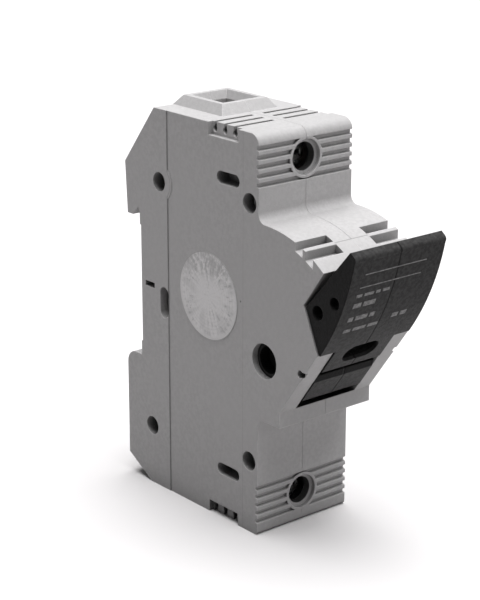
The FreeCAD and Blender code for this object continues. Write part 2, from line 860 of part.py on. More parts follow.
def rivet_places():
    return (
        ("front_top_rivet", s.rivet_front_depth, s.rivet_front_top),
        ("front_low_rivet", s.rivet_front_depth, s.rivet_front_low),
        ("rear_top_rivet", s.rivet_rear_top_depth, s.rivet_rear_top),
        ("rear_low_rivet", s.rivet_rear_low_depth, s.rivet_rear_low),
    )


def shell_rivets():
    """Four tubular rivets, each with a head in the well at both sides."""
    along_x = Vector(1, 0, 0)
    seat = front_half - s.rivet_sink
    half = seat + s.rivet_head_height
    rivets = []
    for name, depth, height in rivet_places():
        shank = rod_piece(name + "_shank", s.rivet_shank, seat * 2, along_x, -seat, depth, height)
        left = rod_piece(name + "_left", s.rivet_head, s.rivet_head_height, along_x,
                         -half, depth, height)
        right = rod_piece(name + "_right", s.rivet_head, s.rivet_head_height, along_x,
                          seat, depth, height)
        bore = rod_piece(name + "_bore", s.rivet_bore, half * 2 + s.overshoot * 2, along_x,
                         -half - s.overshoot, depth, height)
        rivets.append(cut_from(name, joined(name + "_solid", [shank, left, right]), bore))
    group = doc.addObject("Part::Compound", "shell_rivets")
    group.Label = "shell_rivets"
    group.Links = rivets
    return group


def round_label():
    body = new_body("round_label")
    sketch = new_sketch(body, "YZ_Plane", "label_disc", -front_half)
    circle(sketch, (s.label_depth_place, s.label_middle), s.label_radius)
    pad(body, sketch, s.label_thickness, reverse=True)
    return body


# Carrier: sketches hold the distance behind the pivot and the place along the fuse-link
def behind(front, up):
    return -as_size(front), as_size(up)


def cheek_low_up(front):
    """Lower edge of the cheek, level with the notch edge and a little above it."""
    return s.notch_up + s.cheek_rise - (front - s.notch_front) * slope


def bow_front(radius, up, start):
    """Front coordinate of the handle's curve at a place along it."""
    rise = up - start
    return s.handle_front - s.handle_radius + root(radius * radius - rise * rise)


def carrier_left_half():
    body = new_body("carrier_left_half")
    place_on_pivot(body)
    bow_start = cheek_low_up(s.handle_front)
    inner_wall = s.handle_front - s.handle_wall
    inner_radius = s.handle_radius - s.handle_wall
    shelf_top = s.handle_low + s.shelf_thickness

    core = new_sketch(body, "YZ_Plane", "carrier_core")
    outline(core, [
        behind(s.handle_front, s.handle_low),
        behind(s.handle_front, bow_start),
        behind(inner_wall, bow_start + s.handle_wall),
        behind(inner_wall, shelf_top),
        behind(s.sleeve_back, shelf_top),
        behind(s.sleeve_back, -s.sleeve_half_length),
        behind(s.gap_floor - s.cheek_back_gap / 2, -s.sleeve_half_length),
        behind(s.sleeve_toe, -s.sleeve_half_length + s.handle_wall),
        behind(s.sleeve_toe, s.panel_low - s.panel_front + s.sleeve_toe),
        behind(s.panel_front, s.panel_low),
        behind(s.panel_front, s.panel_top - s.panel_chamfer_drop),
        behind(s.panel_front - s.panel_chamfer, s.panel_top),
        behind(s.gap_floor, s.panel_top),
        behind(s.gap_floor, s.handle_low),
    ])
    pad(body, core, carrier_half, reverse=True)

    tip_front = bow_front(s.handle_radius, s.handle_top, bow_start)
    apex_front = s.notch_front + s.cheek_back_gap
    handle = new_sketch(body, "YZ_Plane", "handle_side")
    outline(handle, [
        behind(s.handle_front, bow_start),
        behind(tip_front, s.handle_top),
        behind(tip_front - s.lip_round, s.handle_top + s.lip_round),
        behind(tip_front - s.lip_round - s.lip_flat, s.handle_top + s.lip_round),
        behind(apex_front, cheek_low_up(apex_front)),
    ], {0: (s.handle_radius, -1), 1: (s.lip_round, -1)})
    pad(body, handle, cheek_half, reverse=True)

    hollow_top = s.handle_top - s.lip_round
    hollow = new_sketch(body, "YZ_Plane", "handle_hollow")
    outline(hollow, [
        behind(inner_wall, shelf_top),
        behind(inner_wall, bow_start),
        behind(bow_front(inner_radius, hollow_top, bow_start), hollow_top),
        behind(-s.notch_up, hollow_top),
        behind(-s.notch_up, shelf_top),
    ], {1: (inner_radius, -1)})
    pocket(body, hollow, cheek_inner_half)

    hub = new_sketch(body, "YZ_Plane", "hub")
    circle(hub, (ZERO, ZERO), s.hub_radius)
    pad(body, hub, front_half - s.hub_recess, reverse=True)
    side_cut(body, "hub_hole", front_half - s.hub_recess - s.hub_hole_depth,
             lambda hole: circle(hole, (ZERO, ZERO), s.hub_hole_radius))

    bore = new_sketch(body, "XY_Plane", "fuse_bore", shelf_top + s.overshoot)
    circle(bore, (ZERO, -s.fuse_axis_front), s.fuse_radius + s.fuse_fit)
    pocket(body, bore, shelf_top + s.sleeve_half_length + s.overshoot * 2)

    window = new_sketch(body, "XZ_Plane", "oval_window", s.handle_front + s.overshoot)
    stadium(window, (ZERO, s.oval_up), s.oval_half_length, s.oval_half_height)
    pocket(body, window, s.handle_wall + s.overshoot * 2)

    for name, front, up, radius in (
        ("tie_hole", s.tie_hole_front, s.tie_hole_up, s.tie_hole_radius),
        ("pin_hole", s.pin_hole_front, s.pin_hole_up, s.pin_hole_radius),
    ):
        side_cut(body, name, cheek_inner_half - s.overshoot,
                 lambda hole: circle(hole, behind(front, up), radius))
    return body


# Fuse-link, standing in the swing frame on its own axis
def fuse_body():
    body = new_body("fuse_body")
    place_on_pivot(body, s.fuse_axis_front)
    sketch = new_sketch(body, "YZ_Plane", "fuse_tube")
    radius = s.fuse_radius - s.cap_wall - s.cap_fit
    half = s.fuse_length / 2 - s.cap_wall
    outline(sketch, [(ZERO, -half), (radius, -half), (radius, half), (ZERO, half)])
    revolve(body, sketch, "V_Axis")
    return body


def fuse_cap(label, side):
    """Cup that closes one end of the fuse-link. side is 1 above and -1 below."""
    body = new_body(label)
    place_on_pivot(body, s.fuse_axis_front)
    sketch = new_sketch(body, "YZ_Plane", label + "_cup")
    end = s.fuse_length / 2
    inner = s.fuse_radius - s.cap_wall
    points = [
        (ZERO, end * side),
        (s.fuse_radius - s.cap_wall, end * side),
        (s.fuse_radius, (end - s.cap_wall) * side),
        (s.fuse_radius, (end - s.cap_length) * side),
        (inner, (end - s.cap_length) * side),
        (inner, (end - s.cap_wall) * side),
        (ZERO, (end - s.cap_wall) * side),
    ]
    outline(sketch, points)
    revolve(body, sketch, "V_Axis")
    return body


def fuse_grip_spring():
    """Split ring that holds the ceramic tube in the carrier sleeve."""
    body = new_body("fuse_grip_spring")
    place_on_pivot(body, s.fuse_axis_front)
    sketch = new_sketch(body, "XY_Plane", "grip_ring", -s.ring_length / 2)
    circle(sketch, (ZERO, ZERO), s.fuse_radius + s.fuse_fit - s.bow_fit)
    circle(sketch, (ZERO, ZERO), s.fuse_radius - s.cap_wall + s.bow_fit)
    pad(body, sketch, s.ring_length)
    gap = new_sketch(body, "XY_Plane", "grip_gap", s.ring_length)
    rectangle(gap, -s.ring_gap / 2, s.ring_gap / 2, s.ring_gap / 2, s.fuse_radius * 2)
    pocket(body, gap, s.ring_length * 2)
    return body


# Contacts: a bar from the terminal to the jaw that takes a fuse cap
jaw_inner = s.fuse_radius + s.jaw_fit
jaw_outer = jaw_inner + s.jaw_thickness


def jaw_face(side):
    """Front coordinate of the jaw's back plate. side is 1 above and -1 below."""
    near = s.fuse_axis_front - (s.fuse_radius + s.fuse_fit) * side
    return near, near - s.jaw_thickness * side


def add_u_shape(body, name, side, half, near, far, tip, thickness, low, width):
    """U round the fuse cap, drawn across the fuse-link and padded along it."""
    sketch = new_sketch(body, "XY_Plane", name, low)
    inner = half - thickness
    outline(sketch, [
        (-half, -far), (half, -far), (half, -tip), (inner, -tip),
        (inner, -near), (-inner, -near), (-inner, -tip), (-half, -tip),
    ])
    return pad(body, sketch, width)


def contact(label, side):
    body = new_body(label)
    place_on_pivot(body)
    near, far = jaw_face(side)
    low = s.jaw_near if side > 0 else -s.jaw_near - s.jaw_width
    tip = s.fuse_axis_front + s.jaw_grip * side
    bar_front = s.bar_rear - s.bar_thickness
    end = s.jaw_near + s.jaw_width
    if side > 0:
        level = s.upper_bar_level
        terminal_end = s.screw_top + s.cage_half_height - s.bar_end_room
        under = level - s.bar_thickness
        points = [
            in_swing(bar_front, terminal_end), in_swing(s.bar_rear, terminal_end),
            in_swing(s.bar_rear, under), behind(near, up_at_height(near, under)),
            behind(near, end), behind(far, end),
            behind(far, up_at_height(far, level)), in_swing(bar_front, level),
        ]
    else:
        level = s.lower_bar_level
        terminal_end = s.screw_low - s.cage_half_height + s.bar_end_room / 6
        under = level - s.bar_thickness
        points = [
            behind(far, -s.jaw_near), behind(near, -s.jaw_near),
            behind(near, up_at_height(near, level)), in_swing(s.bar_rear, level),
            in_swing(s.bar_rear, terminal_end), in_swing(bar_front, terminal_end),
            in_swing(bar_front, under), behind(far, up_at_height(far, under)),
        ]
    sketch = new_sketch(body, "YZ_Plane", label + "_bar")
    outline(sketch, points)
    pad(body, sketch, s.bar_half * 2, both=True)
    add_u_shape(body, label + "_jaw", side, jaw_outer, near, far, tip, s.jaw_thickness,
                low, s.jaw_width)
    return body


def jaw_spring(label, side):
    """Steel bow that presses the legs of a jaw on the fuse cap."""
    body = new_body(label)
    place_on_pivot(body)
    _, plate = jaw_face(side)
    near = plate - s.bow_fit * side
    far = near - s.bow_thickness * side
    tip = s.fuse_axis_front + s.jaw_grip * side * 0.5
    middle = s.jaw_near + s.jaw_width / 2
    low = middle * side - s.bow_width / 2
    add_u_shape(body, label + "_bow", side, jaw_outer + s.bow_fit + s.bow_thickness, near, far,
                tip, s.bow_thickness, low, s.bow_width)
    return body


# Terminals: a cage drawn forward by the screw clamps the wire on the bar
def terminal_cage(label, height):
    low, high = height - s.cage_half_height, height + s.cage_half_height
    block = box_piece(label + "_block", (-s.cage_half, s.cage_half),
                      (s.cage_front, s.cage_rear), (low, high))
    inner = s.cage_half - s.cage_wall
    hollow = box_piece(label + "_hollow", (-inner, inner),
                       (s.cage_front + s.cage_front_wall, s.cage_rear - s.cage_wall),
                       (low - s.overshoot, high + s.overshoot))
    thread = rod_piece(label + "_thread", s.screw_radius + s.screw_fit,
                       s.cage_front_wall + s.overshoot * 2, Vector(0, 1, 0),
                       ZERO, s.cage_front - s.overshoot, height)
    open_block = cut_from(label + "_open", block, hollow)
    cage = cut_from(label, open_block, thread)
    cage.Label = label
    return cage


def terminal_screw(label, height):
    """Clamp screw with a cross recess, turned about its own axis."""
    body = new_body(label)
    body.setExpression("Placement.Base.z", height.formula)
    head_front = s.block_front + s.bore_length + s.screw_head_room
    head_rear = head_front + s.screw_head_height
    tip = s.bar_rear - s.bar_thickness - s.screw_tip_room
    edge = s.driver_slot / 2
    sketch = new_sketch(body, "YZ_Plane", label + "_profile")
    outline(sketch, [
        (head_front, ZERO), (head_front, s.screw_head - edge),
        (head_front + edge, s.screw_head), (head_rear, s.screw_head),
        (head_rear, s.screw_radius), (tip - edge, s.screw_radius),
        (tip, s.screw_radius - edge), (tip, ZERO),
    ])
    revolve(body, sketch, "H_Axis")
    for name, half_x, half_z in (
        ("_wide", s.driver_span, s.driver_slot / 2),
        ("_tall", s.driver_slot / 2, s.driver_span),
    ):
        slot = new_sketch(body, "XZ_Plane", label + name, -head_front + s.overshoot)
        rectangle(slot, -half_x, half_x, -half_z, half_z)
        pocket(body, slot, s.driver_depth + s.overshoot)
    return body


# Rail clip and its spring
clip_rear = clip_front + s.clip_thickness
clip_top = -(s.rail_height / 2) + s.clip_overlap


def rail_clip():
    body = new_body("rail_clip")
    bevel = s.clip_thickness / 4
    side = new_sketch(body, "YZ_Plane", "clip_side")
    outline(side, [
        (clip_front, s.clip_bottom), (clip_rear, s.clip_bottom),
        (clip_rear, clip_top - s.clip_nose_slope), (clip_front + bevel, clip_top),
        (clip_front, clip_top - bevel),
    ])
    pad(body, side, s.clip_half * 2, both=True)
    window = new_sketch(body, "XZ_Plane", "clip_window", -clip_front + s.overshoot)
    rectangle(window, -s.clip_window_half, s.clip_window_half, s.clip_window_low,
              s.clip_window_top)
    pocket(body, window, s.clip_thickness + s.overshoot * 2)
    slot = new_sketch(body, "XZ_Plane", "clip_slot", -clip_front + s.overshoot)
    rectangle(slot, -s.clip_slot_half, s.clip_slot_half, s.clip_slot_low,
              s.clip_slot_low + s.clip_slot_height)
    pocket(body, slot, s.clip_thickness + s.overshoot * 2)
    return body


def rail_clip_spring():
    """Coil between the housing's peg and the top of the clip's window."""
    low = s.clip_window_low + s.clip_room + s.peg_height + s.spring_wire
    high = s.clip_window_top - s.spring_wire
    length = high - low
    helix = doc.addObject("Part::Helix", "spring_path")
    helix.setExpression("Radius", s.spring_radius.formula)
    helix.setExpression("Height", length.formula)
    helix.setExpression("Pitch", (length / s.spring_turns).formula)
    wire = doc.addObject("Part::RegularPolygon", "spring_section")
    wire.Placement = Placement(Vector(s.spring_radius.value, 0, 0),
                               Rotation(Vector(1, 0, 0), 90))
    wire.setExpression("Placement.Base.x", s.spring_radius.formula)
    wire.setExpression("Circumradius", s.spring_wire.formula)
    wire.setExpression("Polygon", s.spring_sides.formula)
    coil = doc.addObject("Part::Sweep", "rail_clip_spring")
    coil.Label = "rail_clip_spring"
    coil.Sections = [wire]
    coil.Spine = (helix, [])
    coil.Solid = True
    coil.Frenet = True
    coil.setExpression("Placement.Base.y", (clip_front + s.clip_thickness / 2).formula)
    coil.setExpression("Placement.Base.z", low.formula)
    return coil


def build():
    shell = left_shell()
    carrier = carrier_left_half()
    return [
        shell,
        mirror_copy(shell, "right_shell"),
        shell_rivets(),
        round_label(),
        carrier,
        mirror_copy(carrier, "carrier_right_half"),
        fuse_body(),
        fuse_cap("fuse_upper_cap", 1),
        fuse_cap("fuse_lower_cap", -1),
        fuse_grip_spring(),
        contact("upper_contact", 1),
        contact("lower_contact", -1),
        jaw_spring("upper_jaw_spring", 1),
        jaw_spring("lower_jaw_spring", -1),
        terminal_cage("upper_terminal_cage", s.screw_top),
        terminal_cage("lower_terminal_cage", s.screw_low),
        terminal_screw("upper_terminal_screw", s.screw_top),
        terminal_screw("lower_terminal_screw", s.screw_low),
        rail_clip(),
        rail_clip_spring(),
    ]


def check_and_write(pieces):
    """Every object has to be sound before any file is written."""
    doc.recompute()
    for item in doc.Objects:
        if "Invalid" in item.State or "Error" in item.State:
            raise RuntimeError(f"{item.Name} failed: {item.State}")
    for piece in pieces:
        if piece.Shape.isNull() or not piece.Shape.isValid():
            raise RuntimeError(f"{piece.Label} has no sound shape")
    for piece in pieces:
        piece.Shape.exportStep(f"parts/{piece.Label}.step")


check_and_write(build())
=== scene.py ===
import json
import math

import bmesh
import bpy
from mathutils import Matrix, Vector


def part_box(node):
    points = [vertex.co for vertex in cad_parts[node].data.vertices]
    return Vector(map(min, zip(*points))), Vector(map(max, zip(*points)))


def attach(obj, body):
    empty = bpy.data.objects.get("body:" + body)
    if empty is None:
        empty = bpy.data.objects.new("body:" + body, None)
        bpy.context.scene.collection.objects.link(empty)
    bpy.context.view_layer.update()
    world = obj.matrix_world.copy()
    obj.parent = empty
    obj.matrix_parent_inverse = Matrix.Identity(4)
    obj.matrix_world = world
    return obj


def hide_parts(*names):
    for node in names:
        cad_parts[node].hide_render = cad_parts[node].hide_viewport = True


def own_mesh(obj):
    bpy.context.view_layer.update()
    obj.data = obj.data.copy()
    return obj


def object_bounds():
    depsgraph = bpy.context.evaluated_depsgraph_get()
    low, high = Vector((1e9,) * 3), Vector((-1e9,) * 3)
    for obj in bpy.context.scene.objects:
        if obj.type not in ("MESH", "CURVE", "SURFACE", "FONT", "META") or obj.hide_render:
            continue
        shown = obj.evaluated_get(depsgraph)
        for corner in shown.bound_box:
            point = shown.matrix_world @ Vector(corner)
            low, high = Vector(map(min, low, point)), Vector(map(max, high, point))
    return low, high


# Fuse disconnector: studio scene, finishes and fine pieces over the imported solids.
# Everything is in metres. X is the width, -Y is the front, +Z is up.

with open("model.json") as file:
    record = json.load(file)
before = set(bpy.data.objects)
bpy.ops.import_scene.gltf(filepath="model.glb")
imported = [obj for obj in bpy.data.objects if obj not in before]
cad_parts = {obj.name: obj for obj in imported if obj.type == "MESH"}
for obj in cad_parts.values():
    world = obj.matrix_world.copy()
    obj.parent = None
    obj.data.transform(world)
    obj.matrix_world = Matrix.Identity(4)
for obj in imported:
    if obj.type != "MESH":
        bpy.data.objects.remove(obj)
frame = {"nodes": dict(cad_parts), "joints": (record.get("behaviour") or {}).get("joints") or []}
cad_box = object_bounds()
MM = 0.001
FLOOR_LEVEL = cad_box[0][2]
SIDE = cad_box[1][0]
LEFT_TO_RIGHT = Vector((1, 0, 0))
FRONT_TO_BACK = Vector((0, 1, 0))
UPWARD = Vector((0, 0, 1))

# Hinge frame of the carrier: FORWARD leaves the pivot square to the fuse-link, ALONG follows it
PIVOT = Vector(next(j["pos_m"] for j in frame["joints"] if j["name"] == "carrier_hinge"))
TILT = math.radians(35.9)
ALONG = Vector((0, -math.sin(TILT), math.cos(TILT)))
FORWARD = Vector((0, -math.cos(TILT), -math.sin(TILT)))


# Camera at the photograph's angle: azimuth, elevation and roll in degrees
CAMERA_ANGLES = (-39.7268, 18.1307, 0.07977)
CAMERA_PLACE = (-0.24598, -0.31561, 0.12402)
CAMERA_LENS = 105.008
SENSOR_HEIGHT = 36.0
NEAREST_SEEN, FARTHEST_SEEN = 0.01, 20.0


def add_camera():
    azimuth, elevation, roll = (math.radians(angle) for angle in CAMERA_ANGLES)
    back = Vector((math.sin(azimuth) * math.cos(elevation),
                   -math.cos(azimuth) * math.cos(elevation),
                   math.sin(elevation)))
    level = UPWARD.cross(back).normalized()
    rise = back.cross(level)
    right = level * math.cos(roll) + rise * math.sin(roll)
    up = rise * math.cos(roll) - level * math.sin(roll)
    data = bpy.data.cameras.new("camera")
    data.sensor_fit = "VERTICAL"
    data.sensor_height = SENSOR_HEIGHT
    data.lens = CAMERA_LENS
    data.clip_start = NEAREST_SEEN
    data.clip_end = FARTHEST_SEEN
    camera = bpy.data.objects.new("camera", data)
    bpy.context.scene.collection.objects.link(camera)
    turn = Matrix((right, up, back)).transposed().to_4x4()
    camera.matrix_world = Matrix.Translation(CAMERA_PLACE) @ turn
    bpy.context.scene.camera = camera


# Node material helper
class Nodes:
    """Small builder for one node tree."""

    def __init__(self, tree):
        self.tree = tree
        tree.nodes.clear()

    def add(self, kind, **settings):
        node = self.tree.nodes.new(kind)
        for name, value in settings.items():
            setattr(node, name, value)
        return node

    def join(self, source, target):
        self.tree.links.new(source, target)

    def put(self, socket, value):
        """Link a socket, or set a plain value."""
        if isinstance(value, bpy.types.NodeSocket):
            self.join(value, socket)
        else:
            socket.default_value = value

    def math(self, operation, a, b=0.0):
        node = self.add("ShaderNodeMath", operation=operation)
        self.put(node.inputs[0], a)
        self.put(node.inputs[1], b)
        return node.outputs[0]

    def times(self, *values):
        """Product of several values."""
        product = values[0]
        for value in values[1:]:
            product = self.math("MULTIPLY", product, value)
        return product

    def highest(self, *values):
        """Largest of several values."""
        top = values[0]
        for value in values[1:]:
            top = self.math("MAXIMUM", top, value)
        return top

    def length(self, a, b):
        """Length of a flat vector."""
        return self.math("SQRT", self.math("ADD", self.times(a, a), self.times(b, b)))

    def remap(self, value, low, high, to_low=0.0, to_high=1.0):
        """Smooth step from one range to another. low may be above high."""
        node = self.add("ShaderNodeMapRange", interpolation_type="SMOOTHSTEP")
        for socket, number in zip(node.inputs, (value, low, high, to_low, to_high)):
            self.put(socket, number)
        return node.outputs[0]

    def noise(self, place, scale, detail=2.0, roughness=0.5):
        """Noise of about scale cells per metre."""
        node = self.add("ShaderNodeTexNoise")
        self.join(place, node.inputs["Vector"])
        node.inputs["Scale"].default_value = scale
        node.inputs["Detail"].default_value = detail
        node.inputs["Roughness"].default_value = roughness
        return node.outputs["Fac"]

    def mix(self, factor, first, second):
        node = self.add("ShaderNodeMix", data_type="RGBA")
        self.put(node.inputs["Factor"], factor)
        self.put(node.inputs[6], first)
        self.put(node.inputs[7], second)
        return node.outputs[2]

    def bump(self, height, normal=None):
        """Normal of a height given in metres."""
        node = self.add("ShaderNodeBump")
        node.inputs["Strength"].default_value = 1.0
        node.inputs["Distance"].default_value = 1.0
        self.join(height, node.inputs["Height"])
        if normal is not None:
            self.join(normal, node.inputs["Normal"])
        return node.outputs["Normal"]

    def finish(self, shader):
        out = self.add("ShaderNodeOutputMaterial")
        self.join(shader.outputs[0], out.inputs["Surface"])

    def surface(self, colour, roughness, normal, gloss=0.5, metallic=0.0):
        """Finish the material as one plain surface. gloss is the specular level."""
        shader = self.add("ShaderNodeBsdfPrincipled")
        self.join(colour, shader.inputs["Base Color"])
        self.join(roughness, shader.inputs["Roughness"])
        self.join(normal, shader.inputs["Normal"])
        shader.inputs["Specular IOR Level"].default_value = gloss
        shader.inputs["Metallic"].default_value = metallic
        self.finish(shader)


def start_material(name):
    """New material with its nodes, the place on the object and that place's three numbers."""
    material = bpy.data.materials.new(name)
    material.use_nodes = True
    n = Nodes(material.node_tree)
    place = n.add("ShaderNodeTexCoord").outputs["Object"]
    axes = n.add("ShaderNodeSeparateXYZ")
    n.join(place, axes.inputs[0])
    return material, n, place, axes.outputs


def grey(level):
    """Moulding grey: the photograph's faint warm cast on an even grey."""
    return (level * 1.012, level * 0.994, level, 1.0)


SHADING_SAMPLES = 6
EDGE_LEAN = (0.99, 0.80)
LINE_CORE = 0.4


def edge_light(n, radius):
    """Rounded normal of the edges, and how far it leans from the flat face, which masks the
    painted edge highlight.
    """
    bevel = n.add("ShaderNodeBevel", samples=SHADING_SAMPLES)
    bevel.inputs["Radius"].default_value = radius
    geometry = n.add("ShaderNodeNewGeometry")
    lean = n.add("ShaderNodeVectorMath", operation="DOT_PRODUCT")
    n.join(bevel.outputs[0], lean.inputs[0])
    n.join(geometry.outputs["Normal"], lean.inputs[1])
    return bevel.outputs[0], n.remap(lean.outputs["Value"], *EDGE_LEAN)


def openness(n, reach):
    """1 on open faces and 0 deep in holes, slots and gaps; the materials darken by it as painted
    shade.
    """
    shelter = n.add("ShaderNodeAmbientOcclusion", samples=SHADING_SAMPLES)
    shelter.inputs["Distance"].default_value = reach
    return shelter.outputs["AO"]


def line_at(n, coordinate, place, half_width):
    """1 on the core of a thin line across one coordinate, fading to 0 at its half width."""
    away = n.math("ABSOLUTE", n.math("SUBTRACT", coordinate, place))
    return n.remap(away, half_width, half_width * LINE_CORE)


def drawn(n, coordinate, place, half_width, strength, *masks):
    """Line of a given strength, where every mask is 1."""
    return n.times(line_at(n, coordinate, place, half_width), *masks, strength)


def between(n, coordinate, low, high):
    """1 where the coordinate lies between both values."""
    return n.times(n.math("GREATER_THAN", coordinate, low), n.math("LESS_THAN", coordinate, high))


def distance_to(n, axes, depth, height):
    """Distance from a point of the side view."""
    return n.length(n.math("SUBTRACT", axes["Y"], depth), n.math("SUBTRACT", axes["Z"], height))


# Places on the housing
STEP = -10.18 * MM
SHOULDER = -56.5 * MM
SHOULDER_HALF = 4.8 * MM
FUNNEL_FOOT = 43.0 * MM
BOSS_MIDDLE = (-7.15 * MM, 25.9 * MM)
BOSS_RADIUS = 4.1 * MM
GATE_DOT = (-36.0 * MM, 4.6 * MM)
GATE_DOT_RADIUS = 0.2 * MM
SIDE_SKIN = 0.3 * MM
BORE_HEIGHTS = (36.05 * MM, -42.4 * MM)
BORE_WALL = (-41.1 * MM, -38.0 * MM)
BORE_FADE = 0.5 * MM
DRIVER_RADIUS = 3.3 * MM
VENT_HEIGHTS = (41.25 * MM, -47.95 * MM)
VENT_ROW = (-33.6 * MM, -24.8 * MM)
VENT_REACH = 11.7 * MM
VENT_RADIUS = 0.85 * MM

# Lines on the housing: place, half width and strength
STEP_LINE = (STEP, 0.22 * MM, 0.55)
SHOULDER_LINE = (SHOULDER, 0.12 * MM, 0.50)
FAINT_LINE = (-36.8 * MM, 0.09 * MM, 0.28)
BOSS_LINE = (BOSS_RADIUS, 0.16 * MM, 0.35)

# Places on the carrier, in its hinge frame: up the fuse-link, to the front and to each side
GROOVE = (3.85 * MM, 7.8 * MM)
GROOVE_FRONT = (7.1 * MM, 10.56 * MM)
GROOVE_HALF = 8.5 * MM
OVAL_MIDDLE = 12.5 * MM
OVAL_HALF = (5.0 * MM, 2.7 * MM)
OVAL_FRONT = 9.9 * MM
CHEEK_FACE = 13.0 * MM
CHEEK_SHADE = 0.85


def housing_lines(n, axes, seam):
    """Parting line, joint behind the step and round the boss, faint tool line and gate dot."""
    above = n.math("GREATER_THAN", axes["Z"], 0.0)
    on_shoulder = n.times(n.math("LESS_THAN", axes["Y"], SHOULDER), above)
    seam = n.times(seam, n.math("SUBTRACT", 1.0, on_shoulder),
                   n.math("LESS_THAN", axes["Z"], FUNNEL_FOOT))
    near_middle = n.math("LESS_THAN", n.math("ABSOLUTE", axes["X"]), SHOULDER_HALF)
    shoulder = drawn(n, axes["Y"], *SHOULDER_LINE, near_middle, above)
    on_side = n.math("GREATER_THAN", n.math("ABSOLUTE", axes["X"]), SIDE - SIDE_SKIN)
    from_boss = distance_to(n, axes, *BOSS_MIDDLE)
    step = drawn(n, axes["Y"], *STEP_LINE, n.math("GREATER_THAN", from_boss, BOSS_RADIUS))
    round_boss = drawn(n, from_boss, *BOSS_LINE, n.math("LESS_THAN", axes["Y"], STEP))
    faint = drawn(n, axes["Y"], *FAINT_LINE)
    dot = n.math("LESS_THAN", distance_to(n, axes, *GATE_DOT), GATE_DOT_RADIUS)
    return n.highest(seam, shoulder, n.times(n.highest(step, round_boss, faint, dot), on_side))


def bore_painted_shade(n, axes):
    """1 on the deep wall of both driver holes, which get painted shade."""
    upper, lower = (n.length(axes["X"], n.math("SUBTRACT", axes["Z"], height))
                    for height in BORE_HEIGHTS)
    inside = n.highest(n.math("LESS_THAN", upper, DRIVER_RADIUS),
                       n.math("LESS_THAN", lower, DRIVER_RADIUS))
    front, back = BORE_WALL
    deep = n.remap(axes["Y"], front, front + BORE_FADE)
    return n.times(inside, deep, n.math("LESS_THAN", axes["Y"], back))


def vent_painted_shade(n, axes):
    """1 inside the round ends of both rows of vents, which get painted shade."""
    upper, lower = (between(n, axes["Z"], height - VENT_RADIUS, height + VENT_RADIUS)
                    for height in VENT_HEIGHTS)
    return n.times(n.highest(upper, lower), between(n, axes["Y"], *VENT_ROW),
                   between(n, axes["X"], -VENT_REACH, VENT_REACH))


def housing_painted_shade(n, axes):
    """1 in the driver holes and in the vents, which get painted shade."""
    return n.highest(bore_painted_shade(n, axes), vent_painted_shade(n, axes))


def carrier_depths(n, axes):
    """1 in the groove above the panel and in the oval hole, which get painted shade; less on the
    cheek faces, which it darkens.
    """
    across = n.math("SUBTRACT", axes["Y"], PIVOT.y)
    rise = n.math("SUBTRACT", axes["Z"], PIVOT.z)
    up = n.math("ADD", n.times(across, ALONG.y), n.times(rise, ALONG.z))
    front = n.math("ADD", n.times(across, FORWARD.y), n.times(rise, FORWARD.z))
    groove = n.times(between(n, up, *GROOVE), between(n, front, *GROOVE_FRONT),
                     between(n, axes["X"], -GROOVE_HALF, GROOVE_HALF))
    half_length, half_height = OVAL_HALF
    oval = n.times(between(n, up, OVAL_MIDDLE - half_height, OVAL_MIDDLE + half_height),
                   n.math("LESS_THAN", front, OVAL_FRONT),
                   between(n, axes["X"], -half_length, half_length))
    cheek = n.math("GREATER_THAN", n.math("ABSOLUTE", axes["X"]), CHEEK_FACE)
    return n.highest(groove, oval, n.times(cheek, CHEEK_SHADE))


# Moulded plastics: noise in cells per metre, and each shade as a share of the base colour
FLOW_NOISE, GRAIN_NOISE, SPECK_NOISE, WEAR_HIGHLIGHT_NOISE = 45.0, 2600.0, 1150.0, 320.0
FLOW_SHADES = (0.965, 1.03)
# Painted highlight on the worn edges: share of the base colour, lift and limit
WORN_HIGHLIGHT_SHADE, WORN_HIGHLIGHT_LIFT, WORN_HIGHLIGHT_LIMIT = 1.6, 0.03, 0.9
LINE_SHADE, LINE_SHARE = 0.10, 0.9
# Painted shade: soft in corners and grooves, dark deep in hollows
SOFT_PAINTED_SHADE, SOFT_SHARE = 0.3, 0.38
SOFT_OPENNESS = (0.82, 0.45)
HOLLOW_PAINTED_SHADE, HOLLOW_SHARE = 0.06, 0.97
LINE_DEPTH = 0.08 * MM


